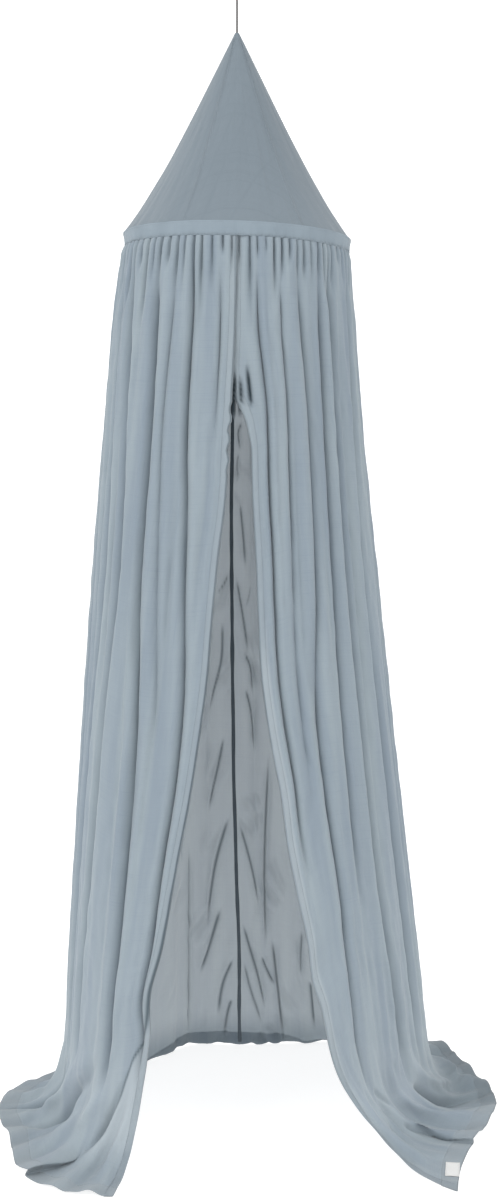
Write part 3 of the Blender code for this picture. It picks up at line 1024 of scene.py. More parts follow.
LEFT_WRINKLES = (
    Fold(0.992, 0.384, 0.982, 0.396, 0.969, 0.408, 0.006, 0.0040),
    Fold(0.979, 0.441, 0.975, 0.498, 0.946, 0.566, 0.007, 0.0050),
    Fold(0.981, 0.588, 0.966, 0.640, 0.947, 0.692, 0.007, 0.0050),
    Fold(0.988, 0.692, 0.962, 0.758, 0.941, 0.844, 0.009, 0.0055),
    Fold(0.971, 0.812, 0.949, 0.864, 0.926, 0.905, 0.007, 0.0060),
    Fold(0.990, 0.880, 0.971, 0.917, 0.963, 0.964, 0.007, 0.0050),
    Fold(0.986, 0.935, 0.978, 0.957, 0.972, 0.990, 0.008, 0.0045),
    Fold(0.906, 0.725, 0.907, 0.860, 0.911, 0.999, 0.010, 0.0042),
    Fold(0.880, 0.560, 0.884, 0.660, 0.886, 0.760, 0.006, 0.0070),
)
RIGHT_WRINKLES = (
    Fold(0.975, 0.192, 0.984, 0.206, 0.978, 0.230, 0.008, 0.0040),
    Fold(0.982, 0.230, 0.986, 0.248, 0.981, 0.266, 0.006, 0.0035),
    Fold(0.979, 0.290, 0.973, 0.332, 0.969, 0.378, 0.008, 0.0045),
    Fold(0.988, 0.386, 0.976, 0.433, 0.966, 0.488, 0.009, 0.0045),
    Fold(0.975, 0.480, 0.962, 0.503, 0.958, 0.535, 0.008, 0.0045),
    Fold(0.974, 0.526, 0.962, 0.561, 0.955, 0.612, 0.008, 0.0045),
    Fold(0.958, 0.396, 0.964, 0.410, 0.969, 0.424, 0.004, 0.0040),
    Fold(0.990, 0.700, 0.970, 0.756, 0.955, 0.815, 0.007, 0.0045),
    Fold(0.991, 0.832, 0.969, 0.889, 0.944, 0.953, 0.008, 0.0050),
    Fold(0.991, 0.885, 0.975, 0.929, 0.955, 0.972, 0.006, 0.0045),
    Fold(0.953, 0.876, 0.940, 0.896, 0.925, 0.917, 0.007, 0.0045),
    Fold(0.921, 0.600, 0.938, 0.760, 0.942, 0.874, 0.010, 0.0045),
    Fold(0.929, 0.850, 0.920, 0.920, 0.910, 0.999, 0.010, 0.0050),
    Fold(0.863, 0.830, 0.868, 0.864, 0.870, 0.896, 0.006, 0.0050),
    Fold(0.850, 0.892, 0.848, 0.921, 0.845, 0.960, 0.007, 0.0055),
)

LEFT_FLOOR = (
    Fold(0.154, 0.812, 0.256, 0.878, 0.334, 0.972, -0.022, 0.016),
    Fold(0.205, 0.815, 0.305, 0.870, 0.385, 0.965, 0.034, 0.032),
    Fold(0.100, 0.830, 0.190, 0.890, 0.262, 0.965, 0.018, 0.034),
    Fold(0.009, 0.783, 0.084, 0.852, 0.124, 0.916, -0.024, 0.013),
    Fold(0.006, 0.800, 0.036, 0.870, 0.060, 0.960, 0.014, 0.018),
    Fold(0.385, 0.860, 0.425, 0.930, 0.445, 1.000, -0.018, 0.012),
    Fold(0.450, 0.840, 0.475, 0.910, 0.500, 0.985, 0.022, 0.030),
    Fold(0.560, 0.850, 0.580, 0.920, 0.585, 0.990, 0.014, 0.028),
    Fold(0.660, 0.900, 0.655, 0.940, 0.650, 0.990, 0.010, 0.024),
)
RIGHT_FLOOR = (
    Fold(0.208, 0.770, 0.238, 0.827, 0.262, 0.852, -0.013, 0.014),
    Fold(0.334, 0.750, 0.365, 0.835, 0.430, 0.890, -0.014, 0.016),
    Fold(0.320, 0.864, 0.366, 0.920, 0.413, 0.995, -0.024, 0.015),
    Fold(0.600, 0.895, 0.495, 0.948, 0.442, 1.000, 0.030, 0.032),
    Fold(0.300, 0.815, 0.400, 0.880, 0.490, 0.935, 0.020, 0.030),
    Fold(0.177, 0.915, 0.183, 0.948, 0.184, 0.985, -0.013, 0.010),
    Fold(0.145, 0.856, 0.168, 0.873, 0.193, 0.887, -0.008, 0.009),
    Fold(0.240, 0.870, 0.270, 0.925, 0.300, 0.985, 0.016, 0.026),
    Fold(0.050, 0.760, 0.090, 0.850, 0.130, 0.930, 0.012, 0.024),
    Fold(0.598, 0.972, 0.560, 0.958, 0.530, 0.950, -0.016, 0.010),
    Fold(0.625, 0.905, 0.620, 0.945, 0.617, 0.996, -0.022, 0.016),
    Fold(0.680, 0.880, 0.675, 0.930, 0.670, 0.990, 0.014, 0.028),
)
LEFT_LAPS = (Lap(0.120, 0.172, 0.900, 1.000, 0.022, 0.007, 0.020),)
RIGHT_LAPS = (Lap(0.205, 0.176, 0.900, 1.000, 0.013, 0.009, 0.014),)
SLIT_PLEATS = (
    SlitPleat(-0.0075, -0.0070, 1.620, 0.016),
    SlitPleat(0.0075, 0.0050, 1.610, 0.013),
    SlitPleat(0.0265, 0.0185, 1.640, 0.016),
)
# How far the right edge is tucked to the left behind the left one, by height above the floor.
TUCK_HEIGHTS = (1.46, 1.52, 1.575, 1.70, 1.90)
TUCKS = (0.0, -0.012, -0.036, -0.018, -0.006)
# The left panel's painted shadow line: how far it stands off the front edge, by share down the panel.
SHADOW_DOWNS = (0.74, 0.783, 0.816, 0.852, 0.886, 0.916)
SHADOW_PLACES = (0.004, 0.013, 0.066, 0.110, 0.140, 0.160)


@dataclass
class SkirtPanel:
    """One gathered panel of the skirt, from its front edge round to the back seam.

    Args:
        side: which side of the front it is on.
        guides: the lines that it hangs along.
        gather_places: the first gathers from the front edge, as shares of the width.
        valleys: its long creases.
        wrinkles: the small slanting folds by the back seam.
        floor_folds: the folds of what lies on the floor.
        laps: where the lying cloth folds over itself.
        seed: the start of its random draws.
        width: its flat width, without what the front hem turns in.
        length: its flat length, without what the bottom hem turns in.
        gathers: about how many gathers its top edge has.
        soft_folds: how many soft folds it falls in.
        hem: the depth of the bottom hem.
        front_hem: the width of the hem down the front edge.
        layer: the gap between a hem's two layers.
        columns: points across the panel's face.
        rows: points down it.
        turn: the most cloth on either side of the bend at the floor.
        turn_share: the same as a share of what lies on the floor.
        bow_start: how far above the floor the guides begin to bow sideways.
        gather_depth: how deep a usual gather is.
        soft_depth: how deep a usual soft fold is.
        fine_depth: how high the finest ripples are.
        fine_count: how many fine ripples there are across the panel.
        wrinkle_rise: how much deeper the wrinkles are than their table says.
        slant_depth: how high the slanting ripples beside the back seam are.
        slant_pitch: the distance from one of them to the next.
        lying_rise: how high the usual ripple of the lying cloth is.
        crumple: how high its small unevenness is.
        dimple: how high the small unevenness of all the cloth is.
        roll_width: how much of the front edge rolls inwards.
        roll_depth: how far it rolls in.
        slit_foot: the height above the floor at which the slit begins to open.
        slit_pleat: the half width of the pleats there.
        thread_lift: how far the stitch lines stand off the cloth.
        lines: the lines that stitches and binding follow, once the panel is built.
    """

    side: Side
    guides: tuple[Guide, ...]
    gather_places: tuple[float, ...]
    valleys: tuple[Valley, ...]
    wrinkles: tuple[Fold, ...]
    floor_folds: tuple[Fold, ...]
    laps: tuple[Lap, ...]
    seed: int
    width: float = 1.40
    length: float = 2.14
    gathers: int = 40
    soft_folds: int = 12
    hem: float = 0.044
    front_hem: float = 0.025
    layer: float = 0.0008
    columns: int = 300
    rows: int = 308
    turn: float = 0.22
    turn_share: float = 0.7
    bow_start: float = 0.25
    gather_depth: float = 0.0115
    soft_depth: float = 0.0150
    fine_depth: float = 0.0014
    fine_count: float = 33.0
    wrinkle_rise: float = 1.3
    slant_depth: float = 0.0048
    slant_pitch: float = 0.11
    lying_rise: float = 0.011
    crumple: float = 0.0011
    dimple: float = 0.0006
    roll_width: float = 0.010
    roll_depth: float = 0.0060
    slit_foot: float = 1.555
    slit_pleat: float = 0.0040
    thread_lift: float = 0.0004
    lines: dict[str, Array] = field(default_factory=dict)

    @property
    def name(self) -> str:
        """The panel's CAD node."""
        return f"skirt_{self.side.name.lower()}"

    def flat(self, share: Array, down: Array) -> tuple[Array, Array]:
        """Distances across and down the flat cloth for shares of its size."""
        return share * self.width, down * self.length

    def column(self, name: str, share: Array) -> Array:
        """One column of the guides as a smooth function of the share across."""
        at = [row.share for row in self.guides]
        return smooth_through(at, [getattr(row, name) for row in self.guides], share)

    def mean(self, share: Array, down: Array) -> Array:
        """The panel without its folds.

        Args:
            share: shares across, 0 at the front edge and 1 at the back seam.
            down: shares of the length, 0 at the gathers and 1 at the hem.

        Returns:
            Positions with heights above the floor.
        """
        side = self.side.value
        angle = math.pi * share
        start = SIZES.band_low * np.stack([side * np.sin(angle), -np.cos(angle)], axis=-1)
        foot = np.stack([self.column(c, share) for c in ("foot_x", "foot_y")], axis=-1)
        end = np.stack([self.column(c, share) for c in ("end_x", "end_y")], axis=-1)
        flare = self.column("flare", share)
        fall = np.hypot(np.linalg.norm(foot - start, axis=-1), SIZES.gathers)
        run = np.linalg.norm(end - foot, axis=-1)
        reach = down * (fall + run)
        turn = np.minimum(self.turn, self.turn_share * run)

        def falling(along: Array) -> Array:
            """Points of the free fall.

            Args:
                along: distances from the gathers.

            Returns:
                The points, with heights above the floor.
            """
            part = np.clip(along / fall, 0.0, 1.0)
            flat = start + (foot - start) * (part**flare)[..., None]
            return np.concatenate([flat, (SIZES.gathers * (1 - part))[..., None]], axis=-1)

        def lying(along: Array) -> Array:
            """Points on the floor.

            Args:
                along: distances from the gathers.

            Returns:
                The points, with heights above the floor.
            """
            part = np.clip((along - fall) / run, 0.0, 1.0)
            flat = foot + (end - foot) * part[..., None]
            return np.concatenate([flat, np.zeros_like(part)[..., None]], axis=-1)

        line = np.where((reach < fall)[..., None], falling(reach), lying(reach))
        u = np.clip((reach - fall + turn) / (2 * turn), 0.0, 1.0)[..., None]
        corner = np.concatenate([foot, np.zeros_like(fall)[..., None]], axis=-1)
        bend = (1 - u) ** 2 * falling(fall - turn) + 2 * u * (1 - u) * corner
        bend = bend + u**2 * lying(fall + turn)
        line = np.where((np.abs(reach - fall) < turn)[..., None], bend, line)
        swing = np.clip((reach - fall + self.bow_start) / (self.bow_start + run), 0.0, 1.0)
        bow = self.column("bow", share) * np.sin(math.pi * swing) ** 2
        heading = (end - foot) / run[..., None]
        line[..., 0] += bow * np.abs(heading[..., 1])
        line[..., 1] += bow * np.abs(heading[..., 0])
        heights, xs = zip(*BACK_SEAM)
        line[..., 0] += smooth_through(heights, xs, line[..., 2]) * smooth_step(0.8, 1.0, share)
        return line

    def edged(self, line: Array, share: Array) -> Array:
        """The panel with its front edge drawn to where the edge really hangs.

        Over the slit's top the right panel passes a little behind the left one, whose edge is
        ruffled there.

        Args:
            line: the panel's points, with heights above the floor.
            share: shares across.

        Returns:
            The moved points.
        """
        edge = line[:, 0]
        column = "left_x" if self.side is Side.LEFT else "right_x"
        heights = [row.height for row in FRONT_EDGES]
        target = smooth_through(heights, [getattr(row, column) for row in FRONT_EDGES], edge[:, 2])
        shift = (target - edge[:, 0]) * smooth_step(0.24, 0.36, edge[:, 2])
        moved = line.copy()
        moved[..., 0] += shift[:, None] * (1 - smooth_step(0.0, 0.20, share))
        if self.side is Side.RIGHT:
            tuck = smooth_through(TUCK_HEIGHTS, TUCKS, edge[:, 2])
            near = 1 - smooth_step(0.0, 0.050, share)
            moved[..., 0] += tuck[:, None] * near
            moved[..., 1] += 0.0065 * near * smooth_step(1.46, 1.56, line[..., 2])
        else:
            ruffle = 0.0032 * np.sin(TAU * edge[:, 2] / 0.043) * smooth_step(1.38, 1.44, edge[:, 2])
            ruffle = ruffle * (1 - smooth_step(1.52, 1.58, edge[:, 2]))
            moved[..., 0] += ruffle[:, None] * (1 - smooth_step(0.0, 0.018, share))
        return moved

    @staticmethod
    def nearest(share: Array, places: Sequence[float]) -> tuple[Array, Array]:
        """Finds the fold of a row that is nearest to each place.

        Args:
            share: shares across.
            places: the shares across of the row's folds.

        Returns:
            The folds' numbers, and how far off they are in steps between folds.
        """
        index = np.interp(share, places, np.arange(len(places)))
        nearest = np.clip(np.round(index).astype(int), 0, len(places) - 1)
        return nearest, index - nearest

    def gathers_at(self, share: Array, down: Array) -> tuple[Array, ...]:
        """The gathers under the band: how far they stand in, and how far they draw together.

        Args:
            share: shares across.
            down: shares down.

        Returns:
            Distances outwards, distances along the width, and how hollow each place is, for the
            painted shade in the gather troughs.
        """
        draw = np.random.default_rng(self.seed)
        places = [-0.012, *self.gather_places]
        while places[-1] < 1.02:
            places.append(places[-1] + draw.uniform(0.6, 1.4) / self.gathers)
        count = len(places)
        size = draw.uniform(0.55, 1.25, count)
        fade = draw.uniform(0.045, 0.17, count) * draw.choice((1.0, 1.0, 1.7), count)
        lean = draw.uniform(-0.10, 0.10, count)
        drift = 0.004 * Crinkle(self.seed + 1, 0.3, 0.6).at(share, down)
        nearest, off = self.nearest(share + drift, places)
        off = off + lean[nearest] * down * 8
        along = down * self.length
        half = 0.15 + 0.16 * smooth_step(0.0, 0.09, along)
        keep = 1 - smooth_step(0.2, 1.0, along / fade[nearest])
        begin = 0.45 + 0.55 * smooth_step(0.0, 0.012, along)
        trough = np.exp(-((off / half) ** 2))
        # painted shade in each gather's trough
        hollow = trough * keep * np.clip(0.25 + 0.75 * size[nearest], 0.0, 1.0)
        size = self.gather_depth * size[nearest] * begin * keep
        puff = 0.0012 + 0.0028 * smooth_step(0.0, 0.02, along) * (1 - smooth_step(0.02, 0.2, along))
        pitch = 0.62 * self.width / self.gathers
        return puff - size * trough, -0.75 * pitch * off * trough * begin * keep, hollow

    def soft_at(self, share: Array, down: Array) -> tuple[Array, ...]:
        """The soft folds of the whole fall, calmer lower down and at the side.

        Args:
            share: shares across.
            down: shares down.

        Returns:
            Distances outwards, distances along the width, and how hollow each place is, for the
            painted shade in the soft folds.
        """
        across, along = self.flat(share, down)
        draw = np.random.default_rng(self.seed + 20)
        count = self.soft_folds + 2
        places = (np.arange(count) - 0.5 + draw.uniform(-0.24, 0.24, count)) / self.soft_folds
        size = draw.uniform(0.6, 1.25, count)
        drift = 0.0045 * Crinkle(self.seed + 2, 0.8, 3.4, 6).at(across, along)
        nearest, off = self.nearest(share + drift, places)
        trough = np.exp(-((off / 0.25) ** 2))
        swell = 1 + 0.18 * Crinkle(self.seed + 3, 0.5, 3.0, 6).at(across, along)
        grow = smooth_step(0.02, 0.16, down) * (1 - 0.55 * smooth_step(0.30, 0.85, down))
        grow = grow * (0.45 + 0.55 * smooth_step(0.03, 0.10, share))
        aside = smooth_step(0.28, 0.38, share) * (1 - smooth_step(0.58, 0.68, share))
        grow = grow * (1 - 0.35 * aside)
        level = np.interp(share + drift, places, size)
        depth = self.soft_depth * swell * grow * (0.42 * level - size[nearest] * trough)
        pitch = self.width / self.soft_folds * 0.72
        # painted shade in each soft fold's trough
        hollow = np.clip(size[nearest], 0.0, 1.0) * trough * grow
        return depth, -0.55 * pitch * off * trough * grow, 0.45 * hollow

    def hanging(self, share: Array, down: Array) -> tuple[Array, ...]:
        """How the hanging cloth stands off its mean surface.

        Args:
            share: shares across.
            down: shares down.

        Returns:
            Distances outwards, distances along the width, and how hollow each place is, for the
            painted shade in its folds and creases.
        """
        across, along = self.flat(share, down)
        depth, slide, hollow = self.gathers_at(share, down)
        soft_depth, soft_slide, soft_shade = self.soft_at(share, down)
        calm = np.ones_like(share)
        nears = []
        for valley in self.valleys:
            place = smooth_through(VALLEY_DOWNS, valley[:6], down)
            nears.append((share - place) * self.width / valley.half_width)
            calm = calm * (1 - 0.75 * np.exp(-((nears[-1] / 2.2) ** 2)))
        depth, slide = depth + soft_depth * calm, slide + soft_slide * calm
        hollow = np.maximum(hollow, soft_shade * calm)
        wander = 0.22 * Crinkle(self.seed + 4, 0.40, 1.9, 7).at(across, along)
        fine = np.cos(TAU * (self.fine_count * share + wander))
        patchy = smooth_step(-0.3, 1.0, Crinkle(self.seed + 5, 0.35, 1.5, 7).at(across, along))
        depth = depth + self.fine_depth * fine * patchy * smooth_step(0.03, 0.12, down)
        for valley, near in zip(self.valleys, nears):
            shown = smooth_step(valley.start, valley.start + 0.08, down)
            shown = shown * (1 - smooth_step(valley.stop - 0.14, valley.stop, down))
            trough = np.exp(-(near**2))
            lip = 0.30 * np.exp(-(((np.abs(near) - 1.7) / 0.9) ** 2))
            depth = depth + valley.depth * shown * (lip - trough)
            slide = slide - 0.62 * valley.half_width * near * trough * shown
            # painted shade along each valley's trough
            hollow = np.maximum(hollow, min(0.85, valley.depth / 0.020) * trough * shown)
        return depth, slide, hollow

    def wrinkled(self, share: Array, down: Array) -> tuple[Array, Array]:
        """The wrinkles near the back seam, which are grooves when seen from inside.

        Args:
            share: shares across.
            down: shares down.

        Returns:
            Distances outwards, and how hollow each place is, for the painted shade in the wrinkles and
            slanting ripples.
        """
        across, along = self.flat(share, down)
        depth, hollow = np.zeros_like(share), np.zeros_like(share)
        for fold in self.wrinkles:
            near = near_curve(across, along, *self.line_of(fold), 0.72 * fold.half_width, 0.0)
            wide = near_curve(across, along, *self.line_of(fold), 2.6 * fold.half_width, 0.0)
            depth = depth + self.wrinkle_rise * fold.height * (near - 0.35 * wide)
            # painted shade in each wrinkle
            hollow = np.maximum(hollow, 1.45 * near * min(1.0, fold.height / 0.007))
        away = (1 - share) * self.width
        slant = along - 2.0 * away
        wander = 1.4 * Crinkle(self.seed + 6, 0.4, 0.4).at(away, along)
        wave = np.sin(TAU * slant / self.slant_pitch + wander)
        patchy = smooth_step(0.1, 1.1, Crinkle(self.seed + 7, 0.22, 0.3).at(away, along))
        reach = smooth_step(0.0, 0.02, away) * (1 - smooth_step(0.10, 0.30, away))
        reach = reach * patchy * smooth_step(0.1, 0.25, down)
        # painted shade along the troughs of the slanting ripples
        slanted = 0.70 * np.clip(wave - 0.35, 0.0, 1.0) * reach
        return depth + self.slant_depth * wave * reach, np.maximum(hollow, slanted)

    def line_of(self, fold: Fold) -> tuple[Array, Array]:
        """A fold's three places, across and down in metres of flat cloth."""
        shares = np.array([fold.across_1, fold.across_2, fold.across_3])
        return self.flat(shares, np.array([fold.down_1, fold.down_2, fold.down_3]))

    def lying(self, share: Array, down: Array) -> tuple[Array, ...]:
        """How the cloth on the floor stands up, and how it folds over itself.

        Args:
            share: shares across.
            down: shares down.

        Returns:
            Heights, below 0 in troughs, distances along the width, and how hollow each place is, for
            the painted shade in troughs and creases and the painted shadow under each lap.
        """
        across, along = self.flat(share, down)
        ripple = 0.5 + 0.5 * Crinkle(self.seed + 8, 0.13, 0.55).at(across, along)
        height = self.lying_rise * np.clip(ripple, 0.0, 1.4)
        small = Crinkle(self.seed + 11, 0.08, 0.20, 12).at(across, along)
        height = height + self.crumple * small
        # painted shade in the troughs of the lying cloth
        hollow = 0.45 * smooth_step(0.35, -0.6, ripple - 0.5)
        if self.side is Side.RIGHT:
            # painted shade over a patch of the right puddle
            painted_shade_zone = smooth_step(0.32, 0.40, share) * smooth_step(0.72, 0.64, share)
            hollow = np.maximum(hollow, 0.88 * painted_shade_zone)
        for fold in self.floor_folds:
            near = near_curve(across, along, *self.line_of(fold), fold.half_width, 0.35)
            height = height + fold.height * near
            # painted shade in the troughs of the floor folds
            hollow = np.maximum(hollow, near * np.clip(-fold.height / 0.016, 0.0, 1.25))
        slide = np.zeros_like(share)
        for lap in self.laps:
            part = smooth_step(lap.down_1, lap.down_2, down)
            place = lap.across_1 + (lap.across_2 - lap.across_1) * part
            near = (share - place) * self.width / lap.half_width
            shown = smooth_step(0.0, 0.45, part)
            slide = slide - 1.65 * lap.reach * near * np.exp(-(near**2) / 2) * shown
            top = smooth_step(-0.5, 0.6, near) * np.exp(-((np.maximum(near, 0) / 3.2) ** 2))
            under = smooth_step(-4.0, -1.0, near) * (1 - smooth_step(-1.0, 0.0, near))
            height = height * (1 - 0.8 * under * shown) + lap.height * top * shown
            # painted shadow under the edge of each lap's upper layer
            hollow = np.maximum(hollow, 0.6 * np.exp(-(((near + 0.9) / 0.5) ** 2)) * shown)
        return height, slide, hollow

    def steps(self) -> tuple[Array, Array]:
        """Where the panel has its points, closer together near its edges.

        Returns:
            The shares across and the shares down.
        """
        even = np.linspace(0.0, 1.0, self.columns)
        across = np.interp(even, (0.0, 0.070, 0.435, 0.715, 1.0), (0.0, 0.03, 0.45, 0.84, 1.0))
        even = np.linspace(0.0, 1.0, self.rows)
        return across, np.interp(even, (0.0, 0.17, 0.55, 1.0), (0.0, 0.085, 0.66, 1.0))

    def surface(self) -> tuple[Array, ...]:
        """The panel's face with its folds.

        Returns:
            The points and their outward normals, each point's share across and down, and how
            hollow the cloth is there, which the cotton paints as shade.
        """
        share, down = np.meshgrid(*self.steps())
        mean = self.edged(self.mean(share, down), share)
        normals = normals_of(mean)
        tangents = np.gradient(mean, axis=1)
        tangents /= np.maximum(np.linalg.norm(tangents, axis=2, keepdims=True), 1e-9)
        run = np.hypot(
            self.column("end_x", share) - self.column("foot_x", share),
            self.column("end_y", share) - self.column("foot_y", share),
        )
        spread = smooth_step(0.02, 0.10, run)
        lying = (1 - smooth_step(0.0, 0.20, mean[..., 2])) * spread
        free = smooth_step(0.050, 0.085, self.from_label(mean))
        edge = np.minimum(share, 1 - share) * self.width
        calm = smooth_step(0.0, 0.05, edge)
        settled = 0.30 + 0.70 * smooth_step(0.0, 0.035, edge)
        settled = np.where(share < 0.5, settled, calm)
        hang, drawn, hollow = self.hanging(share, down)
        lie, lapped, crease_shade = self.lying(share, down)
        depth = hang * settled * (1 - lying) + lie * (0.3 + 0.7 * calm) * lying
        wrinkle, groove = self.wrinkled(share, down)
        depth += wrinkle * smooth_step(0.0, 0.006, (1 - share) * self.width)
        inside = smooth_step(0.80, 0.86, share)
        hollow = hollow * (1 - lying) * (1 - 0.7 * inside) * settled + crease_shade * lying * free
        hollow = np.maximum(hollow, groove)
        depth += self.dimple * Crinkle(self.seed + 9, 0.05, 0.11, 14).at(*self.flat(share, down))
        slit = self.slit_depth(mean)
        depth -= slit
        # painted shade in the slit pleats
        hollow = np.clip(np.maximum(hollow, slit / 0.010), 0.0, 1.5)
        rolled = np.clip(1 - share * self.width / self.roll_width, 0.0, 1.0) ** 2
        depth -= self.roll_depth * rolled * (1 - lying) * smooth_step(0.02, 0.10, down)
        slide = drawn * settled * (1 - lying) + lapped * lying
        points = mean + normals * (depth * free)[..., None] + tangents * (slide * free)[..., None]
        under = 2.2 * self.layer
        points[..., 2] = under + np.maximum(points[..., 2], 0.0)
        points[0, :, 2] = SIZES.gathers
        return points, normals_of(points), share, down, hollow

    def from_label(self, mean: Array) -> Array:
        """How far points are from the label's middle, or far on the panel without it.

        Args:
            mean: the panel's points, with heights above the floor.

        Returns:
            Distances in metres.
        """
        if self.side is Side.LEFT:
            return np.ones(mean.shape[:2])
        low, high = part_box("label")
        x, y = (low.x + high.x) / 2, (low.y + high.y) / 2
        return np.hypot(mean[..., 0] - x, mean[..., 1] - y) + mean[..., 2]

    def slit_depth(self, mean: Array) -> Array:
        """The deep pleats of the right panel's edge where the slit begins to open.

        Args:
            mean: the panel's points, with heights above the floor.

        Returns:
            Distances inwards.
        """
        depth = np.zeros(mean.shape[:2])
        if self.side is Side.LEFT:
            return depth
        height = mean[..., 2]
        for pleat in SLIT_PLEATS:
            rise = np.clip((height - self.slit_foot) / (pleat.top - self.slit_foot), 0.0, 1.0)
            x = pleat.foot_x + (pleat.top_x - pleat.foot_x) * rise
            trough = np.exp(-(((mean[..., 0] - x) / self.slit_pleat) ** 2))
            begun = smooth_step(self.slit_foot - 0.020, self.slit_foot + 0.010, height)
            depth = depth + pleat.depth * trough * (1 - smooth_step(0.5, 1.0, rise)) * begun
        return depth

    def build(self, finish: Material) -> Piece:
        """The panel's cloth, with the hems turned in behind its front edge and along the floor.

        Args:
            finish: the cotton.

        Returns:
            The finished piece.
        """
        face, outward, share, down, hollow = self.surface()
        rows, columns = share.shape
        flat = flat_map(*self.flat(share, down))
        hem_rows = self.count_within(flat[:, columns // 2, 1], self.hem)
        hem_columns = self.count_within(-flat[0, :, 0][::-1], self.front_hem)
        row_order = np.r_[0:rows, rows - 2 : rows - 2 - hem_rows : -1]
        column_order = np.r_[hem_columns:0:-1, 0:columns]
        turned_rows = np.r_[np.zeros(rows), np.ones(hem_rows)]
        turned_columns = np.r_[np.ones(hem_columns), np.zeros(columns)]
        inwards = self.layer * (turned_rows[:, None] + turned_columns[None, :])
        pick = np.ix_(row_order, column_order)
        points = face[pick] - outward[pick] * inwards[..., None]
        points[..., 2] = np.maximum(points[..., 2], 0.0003)
        cloth = flat[pick].copy()
        cloth[..., 1] += turned_rows[:, None] * 2 * (self.length - flat[pick][..., 1])
        cloth[..., 0] *= 1 - 2 * turned_columns[None, :]
        self.lines = {
            "hem": (face + outward * self.thread_lift)[-1 - hem_rows, :],
            "front": (face + outward * self.thread_lift)[4:-2, hem_columns],
            "seam": face[:, -1],
            "seam_in": -outward[:, -1],
        }
        piece = mesh_from_grid(self.name + "_cloth", placed(points), cloth, finish)
        self.tone(piece, pick, flat, face, points[..., 2], hollow)
        return piece

    def tone(
        self,
        piece: Piece,
        pick: tuple[Array, ...],
        flat: Array,
        face: Array,
        height: Array,
        hollow: Array,
    ) -> None:
        """Paints the values that the cotton reads: painted shade in folds, creases and the bottom hem,
        a painted highlight on the hems, and which cloth lies on the floor.

        Args:
            piece: the panel's cloth.
            pick: which points of the face the piece's points stand on, hems included.
            flat: where each point of the face lies on the flat cloth.
            face: the points of the face, with heights above the floor.
            height: the heights of the piece's points.
            hollow: how hollow the face is at its points, which the cotton paints as shade.
        """
        across, along = flat[pick][..., 0], flat[pick][..., 1]
        share = across / self.width
        edge_hem = smooth_step(0.0, 0.002, self.front_hem - across)
        low_hem = smooth_step(0.0, 0.002, along - ((self.length - self.hem) - 0.001))
        line, strip = self.edge_shade_and_highlight(flat, face)
        grounded = 1 - smooth_step(0.004, 0.10, height)
        # painted highlight on the curled edge strip, the front hem and the lying hem
        lit = np.maximum(strip[pick], 0.30 * edge_hem * (1 - low_hem))
        lit = np.maximum(lit, 0.55 * low_hem * grounded * (share < 0.70))
        # hollow and low_hem carry painted shade, pale a painted highlight; grounded marks the lying
        # cloth, whose light through is given painted shade
        values = {
            "front_hem": edge_hem * (1 - low_hem),
            "low_hem": low_hem * smooth_step(0.72, 0.84, share),
            "hollow": np.maximum(hollow, line)[pick],
            "pale": np.clip(lit, 0.0, 1.0),
            "grounded": grounded,
        }
        for name, painted in values.items():
            layer = piece.data.attributes.new(name, "FLOAT", "POINT")
            layer.data.foreach_set("value", painted.astype(np.float32).ravel())

    def edge_shade_and_highlight(self, flat: Array, face: Array) -> tuple[Array, Array]:
        """The painted shadow line by the front edge, and the painted highlight on the hem that curls
        towards the light.

        Args:
            flat: where each point of the face lies on the flat cloth.
            face: the points of the face, with heights above the floor.

        Returns:
            How dark the painted shadow line is at each place, and how strong the painted highlight on
            the strip is.
        """
        height = face[..., 2]
        across, down = flat[..., 0], flat[..., 1] / self.length
        if self.side is Side.LEFT:
            place = smooth_through(SHADOW_DOWNS, SHADOW_PLACES, down)
            line = 0.95 + 0.35 * smooth_step(1.25, 0.95, height)
            line = line * smooth_step(0.96, 0.90, down)
            strip = smooth_step(0.002, -0.004, across - place) * smooth_step(0.765, 0.80, down)
            strip = 0.66 * strip * smooth_step(0.955, 0.88, down)
            wide = 0.0030 + 0.0040 * smooth_step(0.60, 0.35, height)
        else:
            place, wide = 0.0030, 0.0030
            line = 0.80 * smooth_step(0.78, 0.92, height) * smooth_step(1.54, 1.44, height)
            strip = smooth_step(0.040, 0.026, across) * smooth_step(0.06, 0.25, height)
            strip = 0.75 * strip * smooth_step(1.14, 0.98, height) * smooth_step(0.003, 0.006, across)
        return np.exp(-(((across - place) / wide) ** 2)) * line, strip

    @staticmethod
    def count_within(places: Array, depth: float) -> int:
        """How many steps at the end of a rising list of places fit in a depth."""
        return int(np.sum(places[-1] - places[:-1] <= depth + 1e-6))


